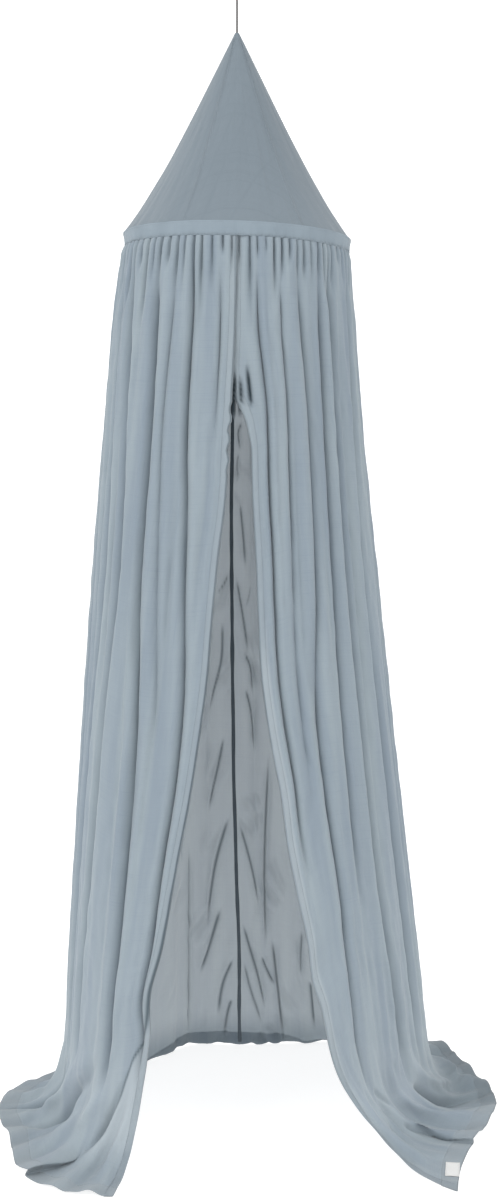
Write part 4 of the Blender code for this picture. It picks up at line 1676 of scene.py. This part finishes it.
def near_curve(x: Array, y: Array, xs: Array, ys: Array, half_width: float, tail: float) -> Array:
    """How near places are to a curve through three points, 1 on it and 0 far off.

    Args:
        x: places across.
        y: places down.
        xs: the three points' places across.
        ys: the three points' places down.
        half_width: how wide the curve's influence is.
        tail: the share that is left at the curve's far end.

    Returns:
        Shares that fade out at the curve's two ends.
    """
    steps = np.linspace(0.0, 2.0, 13)
    cx, cy = smooth_through((0, 1, 2), xs, steps), smooth_through((0, 1, 2), ys, steps)
    margin = 4 * half_width
    close = (x > cx.min() - margin) & (x < cx.max() + margin)
    close &= (y > cy.min() - margin) & (y < cy.max() + margin)
    px, py = x[close], y[close]
    best = np.full(px.shape, 1e9)
    along = np.zeros(px.shape)
    for k in range(len(steps) - 1):
        ax, ay, bx, by = cx[k], cy[k], cx[k + 1] - cx[k], cy[k + 1] - cy[k]
        t = np.clip(((px - ax) * bx + (py - ay) * by) / (bx * bx + by * by), 0.0, 1.0)
        off = (px - ax - t * bx) ** 2 + (py - ay - t * by) ** 2
        nearer = off < best
        best = np.where(nearer, off, best)
        along = np.where(nearer, (k + t) / (len(steps) - 1), along)
    ends = smooth_step(0.0, 0.18, along) * (tail + (1 - tail) * (1 - smooth_step(0.75, 1.0, along)))
    found = np.zeros(x.shape)
    found[close] = np.exp(-best / half_width**2) * ends
    return found


# ---------------- cone, band and hoop


@dataclass(frozen=True)
class Cone:
    """The pointed top of six gores, each made with Geometry Nodes from its rule.

    Args:
        gores: how many gores there are.
        first_seam: the first seam's direction from the front.
        straight: the share of the radius that grows evenly down the cone.
        flare_power: how late the rest of the radius comes.
        hollow: how far a gore sags in between its seams.
        unevenness: how much the taut cloth is drawn in and out.
        still_power: how near to a seam the unevenness reaches.
        ridge: how high a seam stands.
        ridge_power: how narrow a seam is.
        tip_start: how far under the apex the gores begin, as a share of the tip's distance.
        gore_width: a gore's flat width at the hoop; not used.
        gore_length: its flat length.
        gore_area: its flat area; not used.
        columns: points across one gore.
        rows: points down one gore.
    """

    gores: int = 6
    first_seam: float = math.radians(-27.0)
    straight: float = 0.91
    flare_power: float = 5.0
    hollow: float = 0.022
    unevenness: float = 0.010
    still_power: float = 24.0
    ridge: float = 0.0009
    ridge_power: float = 60.0
    tip_start: float = 0.72
    gore_width: float = 0.262
    gore_length: float = 0.52
    gore_area: float = 0.07
    columns: int = 64
    rows: int = 96

    def radius(self, part: Array) -> Array:
        """The cone's radius at a part of the way down."""
        late = (1 - self.straight) * part**self.flare_power
        return SIZES.hoop_radius * (self.straight * part + late)

    def tree(self, finish: Material) -> Tree:
        """The node group that bends a flat grid into one gore.

        Args:
            finish: the cone's cotton.

        Returns:
            The group, with its sizes as named inputs.
        """
        sizes = (
            *("Hoop radius", "Apex height", "Hoop height", "Tip share", "Seam direction"),
            *("Gore angle", "Straight share", "Flare power", "Hollow", "Lean", "Floor"),
        )
        group, nodes, given = new_group("gore", "Carrier", ("Columns", "Rows"), sizes, "Gore")
        m = nodes.math
        size = {"Vertices X": given["Columns"], "Vertices Y": given["Rows"]}
        grid = nodes.add("GeometryNodeMeshGrid", {"Size X": 1.0, "Size Y": 1.0, **size}).outputs[0]
        spot = nodes.spot()
        u = m("ADD", spot["X"], 0.5)
        v = m("SUBTRACT", 0.5, spot["Y"])
        part = m("ADD", given["Tip share"], m("MULTIPLY", v, m("SUBTRACT", 1.0, given["Tip share"])))
        late = m("POWER", part, given["Flare power"])
        even = m("MULTIPLY", part, given["Straight share"])
        flare = m("ADD", even, m("MULTIPLY", late, m("SUBTRACT", 1.0, given["Straight share"])))
        sag = m("MULTIPLY", *(m("SINE", m("MULTIPLY", way, math.pi)) for way in (u, part)))
        drawn = m("SUBTRACT", 1.0, m("MULTIPLY", sag, given["Hollow"]))
        radius = m("MULTIPLY", m("MULTIPLY", flare, drawn), given["Hoop radius"])
        angle = m("ADD", given["Seam direction"], m("MULTIPLY", u, given["Gore angle"]))
        aside = m("ABSOLUTE", m("SUBTRACT", m("MULTIPLY", u, 2.0), 1.0))
        free = m("SUBTRACT", 1.0, m("POWER", aside, self.still_power))
        radius = m("ADD", radius, m("MULTIPLY", self.drag(nodes, part, angle), free))
        ridge = m("MULTIPLY", m("POWER", aside, self.ridge_power), self.ridge)
        radius = m("ADD", radius, ridge)
        x = m("MULTIPLY", radius, m("SINE", angle))
        y = m("MULTIPLY", m("MULTIPLY", radius, m("COSINE", angle)), -1.0)
        drop = m("SUBTRACT", given["Apex height"], given["Hoop height"])
        up = m("SUBTRACT", given["Apex height"], m("MULTIPLY", part, drop))
        tilt = m("MULTIPLY", m("MULTIPLY", x, given["Lean"]), part)
        z = m("ADD", m("SUBTRACT", up, tilt), given["Floor"])
        place = nodes.vector(X=x, Y=y, Z=z)
        bent = nodes.add("GeometryNodeSetPosition", {"Geometry": grid, "Position": place}).outputs[0]
        girth = m("MULTIPLY", flare, given["Hoop radius"])
        sewn = m("MULTIPLY", m("MULTIPLY", u, given["Gore angle"]), girth)
        cloth = nodes.vector(X=sewn, Y=m("MULTIPLY", part, self.gore_length))
        mapped = nodes.add(
            "GeometryNodeStoreNamedAttribute",
            {"Geometry": bent, "Name": "cloth", "Value": cloth},
            data_type="FLOAT2",
            domain="CORNER",
        ).outputs[0]
        nodes.close("Gore", mapped, finish)
        return group

    def drag(self, nodes: Nodes, part: Socket, angle: Socket) -> Socket:
        """How far the taut cloth is drawn in or out, more towards the hoop.

        Args:
            nodes: the maker of the tree's nodes.
            part: parts of the way down the cone.
            angle: directions from the front.

        Returns:
            Distances in metres.
        """
        long = nodes.vector(X=nodes.math("MULTIPLY", angle, 3.2), Y=part)
        level = nodes.math("SUBTRACT", nodes.noise(long, 2.3, 2.5, 0.45), 0.5)
        return nodes.math("MULTIPLY", nodes.math("MULTIPLY", level, part), self.unevenness)

    def build(self, finish: Material) -> list[Piece]:
        """All the gores.

        Args:
            finish: the cone's cotton.

        Returns:
            The pieces, one for each gore.
        """
        group = self.tree(finish)
        tip = 1 - (SIZES.tip - SIZES.hoop) / (SIZES.apex - SIZES.hoop)
        pieces = []
        for k in range(self.gores):
            values = {
                "Columns": self.columns,
                "Rows": self.rows,
                "Hoop radius": SIZES.hoop_radius,
                "Apex height": SIZES.apex,
                "Hoop height": SIZES.hoop,
                "Tip share": tip * self.tip_start,
                "Seam direction": self.first_seam + TAU / self.gores * k,
                "Gore angle": TAU / self.gores,
                "Straight share": self.straight,
                "Flare power": self.flare_power,
                "Hollow": self.hollow,
                "Lean": SIZES.lean,
                "Floor": FLOOR,
            }
            carrier = bpy.data.meshes.new("carrier")
            pieces.append(grown(f"gore_{k + 1}_cloth", carrier, group, values, finish))
        return pieces

    def seam_line(self, index: int, off: float) -> Array:
        """A line beside one seam, just over the cloth.

        Args:
            index: which seam.
            off: its distance from the seam, along the hoop.

        Returns:
            The line's points in the row frame.
        """
        part = np.linspace(0.05, 0.99, 90)
        radius = self.radius(part) + 0.0006
        angle = self.first_seam + TAU / self.gores * index + off / np.maximum(radius, 0.01)
        height = SIZES.apex - part * (SIZES.apex - SIZES.hoop)
        return placed(round_axis(radius, angle, height))


@dataclass(frozen=True)
class Band:
    """The band that turns down over the hoop and takes the gathers.

    Args:
        length: its flat length; not used.
        width: its flat width, with the edge that is turned in; not used.
        fall: how much of the width shows.
        crown: how far it stands out over the hoop.
        pulls: how often the gathers pull at its lower edge.
        pull: how far they pull it.
        dimple: how uneven it is.
        turned: how far in its turned edge lies.
        columns: points round it.
        rows: points down its face.
        turned_rows: points up its turned edge.
    """

    length: float = 1.575
    width: float = 0.040
    fall: float = 0.031
    crown: float = 0.0011
    pulls: int = 76
    pull: float = 0.0007
    dimple: float = 0.0006
    turned: float = 0.0009
    columns: int = 540
    rows: int = 16
    turned_rows: int = 4

    def build(self, finish: Material) -> Piece:
        """The band's cloth, with its lower edge turned in.

        Args:
            finish: the band's cotton.

        Returns:
            The finished piece.
        """
        angle = np.arange(self.columns) * TAU / self.columns
        turn, low = np.meshgrid(angle, np.linspace(0.0, 1.0, self.rows))
        across = turn * SIZES.hoop_radius
        along = low * 0.03
        radius = SIZES.band_top + (SIZES.band_low - SIZES.band_top) * low
        radius = radius + self.crown * np.cos(low * math.pi * 0.5) * (1 - low)
        pull = np.cos(self.pulls * turn + 1.3 * Crinkle(41, 0.25, 9.0).at(across, along))
        radius = radius + self.pull * pull * low**2
        radius = radius + self.dimple * Crinkle(42, 0.05, 0.05).at(across, along) * low
        height = SIZES.hoop + (SIZES.gathers - self.dimple - SIZES.hoop) * low
        grid = round_axis(radius, turn, height + self.pull * pull * low**3)
        inner = 1 - self.turned / SIZES.band_low
        last = slice(-2, -2 - self.turned_rows, -1)
        grid = np.concatenate([grid, grid[last] * np.array([inner, inner, 1.0])])
        flat = flat_map(across, low * self.fall)
        back = flat[last].copy()
        back[..., 1] = 2 * self.fall - back[..., 1]
        return mesh_from_grid("band_cloth", placed(grid), np.concatenate([flat, back]), finish, True)

    def line(self, down: float) -> Array:
        """A closed line round the band's outer face.

        Args:
            down: the share of the way down the face.

        Returns:
            The line's points in the row frame.
        """
        angle = np.linspace(0.0, TAU, 361)
        radius = SIZES.band_top + (SIZES.band_low - SIZES.band_top) * down + self.crown
        height = np.full_like(angle, SIZES.hoop + (SIZES.gathers - SIZES.hoop) * down)
        return placed(round_axis(radius, angle, height))


# How deep the groove between two strands is, as a share of the radius.
STRAND_GROOVE = 0.16


def tube(path: Array, radius: Array, sides: int, strands: int, lay: float, closed: bool) -> Shell:
    """A tube of twisted strands along a path.

    Args:
        path: points along the middle.
        radius: the outer radius at each point.
        sides: points round the tube.
        strands: how many strands show.
        lay: the length in which a strand goes round once.
        closed: whether the path's end meets its start.

    Returns:
        The vertices and the faces.
    """
    if closed:
        ahead = np.roll(path, -1, axis=0) - np.roll(path, 1, axis=0)
    else:
        ahead = np.gradient(path, axis=0)
    ahead /= np.linalg.norm(ahead, axis=1, keepdims=True)
    guess = np.array([0.0, 1.0, 0.0])
    sidewards = np.cross(ahead, guess)
    sidewards /= np.linalg.norm(sidewards, axis=1, keepdims=True)
    upwards = np.cross(sidewards, ahead)
    steps = np.linalg.norm(np.diff(path, axis=0), axis=1)
    along = np.r_[0.0, np.cumsum(steps)]
    if closed:
        whole = along[-1] + np.linalg.norm(path[0] - path[-1])
        lay = whole / max(1, round(whole / lay))
    turn = np.arange(sides) * TAU / sides
    phase = strands * (turn[None, :] - TAU * along[:, None] / lay)
    reach = radius[:, None] * (1 - STRAND_GROOVE * (1 - np.abs(np.cos(phase / 2))))
    ring = sidewards[:, None, :] * np.cos(turn)[None, :, None]
    ring = ring + upwards[:, None, :] * np.sin(turn)[None, :, None]
    vertices = (path[:, None, :] + ring * reach[..., None]).reshape(-1, 3)
    return vertices, tube_faces(len(path), sides, closed)


def tube_faces(count: int, sides: int, closed: bool) -> list[tuple[int, ...]]:
    """The faces of a tube.

    Args:
        count: how many rings of points it has, one after another.
        sides: points in a ring.
        closed: whether the last ring meets the first. If not, both ends are filled.

    Returns:
        The faces.
    """
    faces = []
    for i in range(count if closed else count - 1):
        for k in range(sides):
            a, b = i * sides + k, i * sides + (k + 1) % sides
            c, d = (i + 1) % count * sides + k, (i + 1) % count * sides + (k + 1) % sides
            faces.append((a, b, d, c))
    if not closed:
        faces.append(tuple(range(sides))[::-1])
        faces.append(tuple((count - 1) * sides + k for k in range(sides)))
    return faces


def mesh_object(name: str, parts: Sequence[Shell], finish: Material) -> Piece:
    """One smooth object of several shells.

    Args:
        name: the piece's name.
        parts: vertices and faces for each shell.
        finish: the material.

    Returns:
        The new object, with all faces out.
    """
    vertices, faces, base = [], [], 0
    for points, polygons in parts:
        vertices.append(points)
        faces += [tuple(base + k for k in polygon) for polygon in polygons]
        base += len(points)
    mesh = bpy.data.meshes.new(name)
    mesh.from_pydata(np.concatenate(vertices).tolist(), [], faces)
    mesh.materials.append(finish)
    mesh.shade_smooth()
    mesh.set_sharp_from_angle(angle=math.radians(50))
    shape = bmesh.new()
    shape.from_mesh(mesh)
    bmesh.ops.recalc_face_normals(shape, faces=shape.faces)
    shape.to_mesh(mesh)
    shape.free()
    return linked(name, mesh)


@dataclass(frozen=True)
class Hoop:
    """The round hoop that spreads the cone, swept with Geometry Nodes.

    Args:
        thickness: the diameter of its section.
        below: how far its middle hangs under the edge of cone and band.
        inset: how far it stands inside the band.
    """

    thickness: float = 0.008
    below: float = 0.0056
    inset: float = 0.0026

    def tree(self, finish: Material) -> Tree:
        """The node group that sweeps a round section round the hoop.

        Args:
            finish: the hoop's plastic.

        Returns:
            The group, with its sizes as named inputs.
        """
        sizes = ("Radius", "Section radius", "Height", "Lean")
        group, nodes, given = new_group("hoop_sweep", "Carrier", (), sizes, "Hoop")
        circle, section = (
            nodes.add("GeometryNodeCurvePrimitiveCircle", {"Resolution": points, "Radius": radius})
            for points, radius in ((160, given["Radius"]), (18, given["Section radius"]))
        )
        swept = nodes.add(
            "GeometryNodeCurveToMesh",
            {"Curve": circle.outputs["Curve"], "Profile Curve": section.outputs["Curve"]},
        ).outputs[0]
        tilt = nodes.math("MULTIPLY", nodes.spot()["X"], given["Lean"])
        offset = nodes.vector(Z=nodes.math("SUBTRACT", given["Height"], tilt))
        moved = nodes.add("GeometryNodeSetPosition", {"Geometry": swept, "Offset": offset}).outputs[0]
        nodes.close("Hoop", moved, finish)
        return group

    def build(self, finish: Material) -> Piece:
        """The hoop as one closed ring.

        Args:
            finish: the hoop's plastic.

        Returns:
            The finished piece.
        """
        values = {
            "Radius": SIZES.band_top - self.inset - self.thickness / 2,
            "Section radius": self.thickness / 2,
            "Height": SIZES.hoop - self.below + FLOOR,
            "Lean": SIZES.lean,
        }
        carrier = bpy.data.meshes.new("carrier")
        return grown("hoop_ring", carrier, self.tree(finish), values, finish)


# ---------------- small pieces


@dataclass(frozen=True)
class BackBinding:
    """The narrow binding that covers the back seam on the inside.

    Args:
        width: its width.
        lift: how far its edges stand off the seam.
        crown: how much further its middle stands off.
        wander: how far it wanders sideways.
        pucker: how far it puckers.
        unevenness: how much its width changes, as a share.
        thread_lift: how far the stitch lines stand off it.
        columns: points across it.
    """

    width: float = 0.0084
    lift: float = 0.0016
    crown: float = 0.0009
    wander: float = 0.0007
    pucker: float = 0.0006
    unevenness: float = 0.10
    thread_lift: float = 0.0003
    columns: int = 9

    def build(self, line: Array, inward: Array, finish: Material) -> tuple[Piece, list[Array]]:
        """The strip along the seam.

        Args:
            line: the seam's points, with heights above the floor.
            inward: directions into the tent along it.
            finish: the binding's cotton.

        Returns:
            The piece, and a stitch line near each of its edges.
        """
        keep = line[:, 2] > 0.006
        line, inward = line[keep], inward[keep]
        inward = inward * np.array([0.0, 1.0, 1.0])
        inward /= np.linalg.norm(inward, axis=1, keepdims=True)
        along = np.r_[0.0, np.cumsum(np.linalg.norm(np.diff(line, axis=0), axis=1))]
        side = np.linspace(-1.0, 1.0, self.columns)
        level = np.zeros_like(along)
        wander = self.wander * Crinkle(61, 1.0, 0.35).at(level, along)
        pucker = self.pucker * Crinkle(62, 1.0, 0.035, 12).at(level, along)
        width = self.width / 2 * (1 + self.unevenness * Crinkle(63, 1.0, 0.12).at(level, along))
        grid = np.repeat(line[:, None, :], self.columns, axis=1)
        grid[..., 0] += wander[:, None] + width[:, None] * side[None, :]
        rise = self.lift + self.crown * (1 - side[None, :] ** 4)
        rise = rise + pucker[:, None] * (1 - side[None, :] ** 2)
        grid = grid + inward[:, None, :] * rise[..., None]
        flat = flat_map(side[None, :] * self.width / 2, along[:, None])
        piece = mesh_from_grid("back_binding_strip", placed(grid), flat, finish)
        raised = grid + inward[:, None, :] * self.thread_lift
        return piece, [placed(raised[2:-2, 1]), placed(raised[2:-2, -2])]


@dataclass(frozen=True)
class Label:
    """The blank ribbon label, sewn flat on the right front hem.

    Args:
        length: its length.
        width: its width.
        thickness: its thickness.
        turn: how far it is turned, in radians.
        curl: how far its ends curl up.
        side_curl: how far its sides do, as a share of that.
        wave: how far it stands in waves.
        steps: points across it, and half the points along it.
    """

    length: float = 0.075
    width: float = 0.0285
    thickness: float = 0.0007
    turn: float = math.radians(8.0)
    curl: float = 0.0005
    side_curl: float = 0.6
    wave: float = 0.00025
    steps: int = 14

    def build(self, finish: Material) -> tuple[Piece, list[Array]]:
        """The label, and the stitch line round it.

        Args:
            finish: the ribbon.

        Returns:
            The piece and its stitch lines.
        """
        low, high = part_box("label")
        centre = np.array([(low.x + high.x) / 2, (low.y + high.y) / 2])
        along = np.array([math.sin(self.turn), math.cos(self.turn)])
        across = np.array([along[1], -along[0]])
        places = (np.linspace(-0.5, 0.5, count) for count in (self.steps, self.steps * 2))
        s, t = np.meshgrid(*places)
        xy = centre + s[..., None] * self.width * across + t[..., None] * self.length * along
        curl = self.curl * (np.abs(2 * t) ** 6 + self.side_curl * np.abs(2 * s) ** 6)
        wave = self.wave * np.sin(9 * t + 4 * s)
        top = low.z + self.thickness + curl + wave
        upper = np.dstack([xy, top])
        under = np.dstack([xy, top - self.thickness])
        shell = closed_sheet(upper, under)
        rim = upper[[1, 1, -2, -2, 1], [1, -2, -2, 1, 1]] + np.array([0.0, 0.0, 0.0002])
        fine = np.concatenate([np.linspace(rim[k], rim[k + 1], 12) for k in range(4)])
        return mesh_object("label_ribbon", [shell], finish), [fine]


def closed_sheet(upper: Array, under: Array) -> Shell:
    """A closed slab between two grids of the same size.

    Args:
        upper: the top face's points.
        under: the bottom face's points.

    Returns:
        The vertices and the faces.
    """
    rows, columns = upper.shape[:2]
    size = rows * columns
    faces: list[tuple[int, ...]] = []
    for i in range(rows - 1):
        for j in range(columns - 1):
            a = i * columns + j
            quad = (a, a + 1, a + columns + 1, a + columns)
            faces.append(quad)
            faces.append(tuple(size + k for k in reversed(quad)))
    rim = list(range(columns))
    rim += [i * columns + columns - 1 for i in range(1, rows)]
    rim += [(rows - 1) * columns + j for j in range(columns - 2, -1, -1)]
    rim += [i * columns for i in range(rows - 2, 0, -1)]
    for k, a in enumerate(rim):
        b = rim[(k + 1) % len(rim)]
        faces.append((b, a, a + size, b + size))
    return np.concatenate([upper.reshape(-1, 3), under.reshape(-1, 3)]), faces


@dataclass(frozen=True)
class HangCord:
    """The taut twisted cord from the cone's tip to its knotted loop.

    Args:
        diameter: its thickness.
        inside: the length inside the cone's tip.
        outside: the length from the tip to the knot.
        strands: how many strands it is twisted from.
        lay: the length in which a strand goes round once.
        points: points along its middle.
        sides: points round it.
    """

    diameter: float = 0.0055
    inside: float = 0.010
    outside: float = 0.0895
    strands: int = 3
    lay: float = 0.011
    points: int = 150
    sides: int = 30

    @property
    def exit(self) -> Point:
        """Where the cord leaves the cone's tip."""
        return (0.0, 0.0, SIZES.tip + FLOOR)

    def build(self, finish: Material) -> tuple[Piece, Array]:
        """The cord as a tube of strands.

        Args:
            finish: the cord's cotton.

        Returns:
            The piece and the points along its middle.
        """
        start = self.exit[2] - self.inside
        heights = np.linspace(start, self.exit[2] + self.outside, self.points)
        level = np.zeros_like(heights)
        path = np.stack([level, level, heights], axis=-1)
        radius = np.full(self.points, self.diameter / 2)
        shell = tube(path, radius, self.sides, self.strands, self.lay, False)
        return mesh_object("hang_cord_twist", [shell], finish), path[::6]


@dataclass(frozen=True)
class HangLoop:
    """The loop for the hook, and the wound knot that closes it.

    Args:
        cord: the cord that it is made of.
        half_width: half the width of the loop's opening.
        half_height: half the height of the loop's opening.
        narrowing: how much narrower the loop is at its foot.
        knot_length: the knot's length.
        knot_radius: the knot's radius.
        wraps: how often the cord is wound round.
        wrap_swell: how much thicker a wrap is than its share of the length.
        wrap_slope: how far a wrap's sides stand up and down.
        groove: how deep the groove between a wrap's strands is, as a share.
        points: points round the loop.
        sides: points round the loop's cord.
        wrap_sides: points round a wrap's cord.
    """

    cord: HangCord = HangCord()
    half_width: float = 0.0105
    half_height: float = 0.0150
    narrowing: float = 0.28
    knot_length: float = 0.0176
    knot_radius: float = 0.0076
    wraps: int = 4
    wrap_swell: float = 1.08
    wrap_slope: float = 0.0009
    groove: float = 0.12
    points: int = 120
    sides: int = 22
    wrap_sides: int = 16

    def build(self, finish: Material) -> Piece:
        """The eye and the knot, as one piece of closed shells.

        Args:
            finish: the cord's cotton.

        Returns:
            The finished piece.
        """
        angle = np.arange(self.points) * TAU / self.points
        thick = self.cord.diameter / 2
        narrowed = 1 - self.narrowing * (1 - np.cos(angle)) / 2
        x = (self.half_width + thick) * narrowed * np.sin(angle)
        z = (self.half_height + thick) * np.cos(angle) - self.half_height
        eye = np.stack([x, np.zeros_like(x), z], axis=-1)
        radius = np.full(self.points, thick)
        shells = [tube(eye, radius, self.sides, self.cord.strands, self.cord.lay, True)]
        top = -2 * self.half_height + 0.0005
        wrap_radius = self.knot_length / self.wraps / 2 * self.wrap_swell
        angle = angle[::2]
        for k in range(self.wraps):
            middle = top - self.knot_length * (k + 0.5) / self.wraps
            swell = 1.0 - 0.14 * abs(k - (self.wraps - 1) / 2) / self.wraps * 2
            reach = (self.knot_radius - wrap_radius) * swell
            height = middle + self.wrap_slope * (-1) ** k * np.sin(angle)
            ring = np.stack([reach * np.cos(angle), reach * np.sin(angle), height], axis=-1)
            shells.append(self.wrap(ring, wrap_radius))
        return mesh_object("hang_loop_knot", shells, finish)

    def wrap(self, ring: Array, radius: float) -> Shell:
        """One turn of the knot.

        Args:
            ring: points along its middle, round the cord.
            radius: the radius of its section.

        Returns:
            The vertices and the faces.
        """
        count, sides, strands = len(ring), self.wrap_sides, self.cord.strands
        outward = ring * np.array([1.0, 1.0, 0.0])
        outward /= np.linalg.norm(outward, axis=1, keepdims=True)
        upward = np.array([0.0, 0.0, 1.0])
        turn = np.arange(sides) * TAU / sides
        phase = strands * (turn[None, :] + 4 * TAU * np.arange(count)[:, None] / count / strands)
        reach = radius * (1 - self.groove * (1 - np.abs(np.cos(phase / 2))))
        section = outward[:, None, :] * np.cos(turn)[None, :, None]
        section = section + upward * np.sin(turn)[None, :, None]
        vertices = (ring[:, None, :] + section * reach[..., None]).reshape(-1, 3)
        return vertices, tube_faces(count, sides, True)


# ---------------- studio


@dataclass(frozen=True)
class Studio:
    """The pale floor, the soft lights and the camera at the photo's angle.

    Args:
        distance: from the camera to the hoop's axis.
        eye: the camera's height above the floor.
        focal: the lens, for a 36 mm sensor on the long side.
        shift_x: how far the view is shifted to the side.
        shift_y: how far the view is shifted upwards.
        surround_power: how bright the white surround is.
        lean: how much brighter it is on its brightest side.
        brightest: the direction of that side.
        floor_tone: the floor's colour.
        floor_glow: how strongly the floor is lit from below.
        reach: how far the floor goes each way.
        aim: the height above the floor that the lights face.
    """

    distance: float = 4.0
    eye: float = 1.35
    focal: float = 54.24
    shift_x: float = 0.0104
    shift_y: float = -0.0833
    surround_power: float = 1.45
    lean: float = 0.20
    brightest: Point = (-0.62, -0.60, 0.50)
    floor_tone: Colour = (0.35, 0.35, 0.35)
    floor_glow: float = 0.80
    reach: float = 9.0
    aim: float = 1.2

    def build(self) -> None:
        """Makes the floor, the world, the lights and the camera."""
        floor = bpy.data.meshes.new("floor")
        ways = ((-1, -1), (1, -1), (1, 1), (-1, 1))
        corners = [(x * self.reach, y * self.reach, FLOOR - 0.0005) for x, y in ways]
        floor.from_pydata(corners, [], [(0, 1, 2, 3)])
        pale = LitFloor("pale_floor", self.floor_tone, self.floor_glow)
        floor.materials.append(pale.material())
        linked("floor", floor)
        bpy.context.scene.world = self.surround()
        bpy.context.scene.view_settings.view_transform = "Standard"
        self.area("key_light", (-3.0, -3.0, 3.1), 2.0, 105.0)
        self.area("fill_light", (3.2, -2.6, 2.2), 2.4, 55.0)
        self.camera()

    def surround(self) -> bpy.types.World:
        """A white surround, brighter at the front, the left and the top.

        Returns:
            The world that lights the scene.
        """
        world = bpy.data.worlds.new("studio_white")
        world.use_nodes = True
        world.node_tree.nodes.clear()
        nodes = Nodes(world.node_tree)
        way = nodes.place("Generated")
        facing = nodes.add(
            "ShaderNodeVectorMath", {0: way, 1: self.brightest}, operation="DOT_PRODUCT"
        ).outputs["Value"]
        power = nodes.math("ADD", nodes.math("MULTIPLY", facing, self.lean), self.surround_power)
        light = nodes.add(
            "ShaderNodeBackground", {"Color": (1.0, 1.0, 1.0, 1.0), "Strength": power}
        ).outputs[0]
        nodes.add("ShaderNodeOutputWorld", {"Surface": light})
        return world

    def area(self, name: str, place: Point, size: float, power: float) -> None:
        """A square soft light that faces the middle of the canopy.

        Args:
            name: its name.
            place: where it stands, with its height above the floor.
            size: its side.
            power: its power in watts.
        """
        data = bpy.data.lights.new(name, "AREA")
        data.size = size
        data.energy = power
        light = linked(name, data)
        x, y, z = place
        light.location = (x, y, z + FLOOR)
        aim = np.array([0.0, 0.0, self.aim]) - np.array(place)
        light.rotation_euler = (
            math.atan2(math.hypot(aim[0], aim[1]), -aim[2]),
            0.0,
            math.atan2(aim[0], -aim[1]) + math.pi,
        )

    def camera(self) -> None:
        """The camera, level, straight in front of the canopy."""
        data = bpy.data.cameras.new("camera")
        data.lens = self.focal
        data.sensor_width = 36.0
        data.sensor_fit = "AUTO"
        data.shift_x = self.shift_x
        data.shift_y = self.shift_y
        data.clip_end = 60.0
        camera = linked("camera", data)
        camera.location = (0.0, -self.distance, self.eye + FLOOR)
        camera.rotation_euler = (math.pi / 2, 0.0, 0.0)
        bpy.context.scene.camera = camera


# ---------------- assembly


def dress(piece: Piece, slot: Slot, *nodes: str) -> Piece:
    """Puts a finished piece on the canopy's one body.

    Args:
        piece: the finished piece.
        slot: the record's slot that its finish belongs to; not used.
        nodes: the CAD nodes that it stands for.

    Returns:
        The same piece.
    """
    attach(piece, "root")
    if nodes:
        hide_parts(*nodes)
    log.info("%s: %d faces", piece.name, len(piece.data.polygons))
    return piece


def make_skirt(finishes: Finishes) -> None:
    """Both panels, their stitches and the back binding.

    Args:
        finishes: the materials.
    """
    left = SkirtPanel(
        Side.LEFT,
        *(LEFT_GUIDES, LEFT_GATHERS, LEFT_VALLEYS, LEFT_WRINKLES, LEFT_FLOOR, LEFT_LAPS),
        seed=311,
    )
    right = SkirtPanel(
        Side.RIGHT,
        *(RIGHT_GUIDES, RIGHT_GATHERS, RIGHT_VALLEYS, RIGHT_WRINKLES, RIGHT_FLOOR, RIGHT_LAPS),
        seed=523,
    )
    for panel in (right, left):
        cloth = dress(panel.build(finishes.cotton), Slot.CLOTH, panel.name)
        lines = [placed(panel.lines["hem"]), placed(panel.lines["front"])]
        stitches = StitchRun().sew(panel.name + "_stitches", lines, finishes.thread)
        sewn_on = [dress(stitches, Slot.CLOTH)]
        if panel is left:
            sewn_on += make_binding(left, finishes)


def make_binding(panel: SkirtPanel, finishes: Finishes) -> list[Piece]:
    """The strip inside the back seam and its stitches.

    Args:
        panel: the panel whose back edge it covers.
        finishes: the materials.

    Returns:
        The pieces.
    """
    strip, lines = BackBinding().build(panel.lines["seam"], panel.lines["seam_in"], finishes.binding)
    dress(strip, Slot.BINDING, "back_binding")
    run = StitchRun(length=0.0022, pitch=0.0034)
    return [strip, dress(run.sew("back_binding_stitches", lines, finishes.binding), Slot.BINDING)]


def make_top(finishes: Finishes) -> None:
    """The cone, its seams, the band and the hoop.

    Args:
        finishes: the materials.
    """
    cone = Cone()
    for k, gore in enumerate(cone.build(finishes.cone_cotton)):
        dress(gore, Slot.CLOTH, f"gore_{k + 1}")
    seams = [cone.seam_line(k, off) for k in range(cone.gores) for off in (-0.0028, 0.0028)]
    run = StitchRun(length=0.0026, pitch=0.0040)
    dress(run.sew("cone_stitches", seams, finishes.thread), Slot.CLOTH)
    band = Band()
    cloth = dress(band.build(finishes.band_cotton), Slot.CLOTH, "band")
    stitches = run.sew("band_stitches", [band.line(0.10), band.line(0.90)], finishes.thread)
    dress(stitches, Slot.CLOTH)
    dress(Hoop().build(finishes.hoop), Slot.HOOP, "hoop")


def make_trim(finishes: Finishes) -> None:
    """The cord, its loop and the label.

    Args:
        finishes: the materials.
    """
    cord = HangCord()
    loop = dress(HangLoop(cord).build(finishes.cord), Slot.CORD, "hang_loop")
    piece, path = cord.build(finishes.cord)
    dress(piece, Slot.CORD, "hang_cord")
    ribbon = Label()
    label, lines = ribbon.build(finishes.label)
    dress(label, Slot.LABEL, "label")
    run = StitchRun(length=0.0018, pitch=0.0028, thread=0.0002)
    stitches = dress(run.sew("label_stitches", lines, finishes.label), Slot.LABEL)


def main() -> None:
    """Builds the whole canopy and its studio."""
    logging.basicConfig(level=logging.INFO, format="%(name)s: %(message)s")
    finishes = Finishes.mixed()
    Studio().build()
    make_trim(finishes)
    make_top(finishes)
    make_skirt(finishes)
    bpy.context.view_layer.update()


if __name__ == "__main__":
    main()
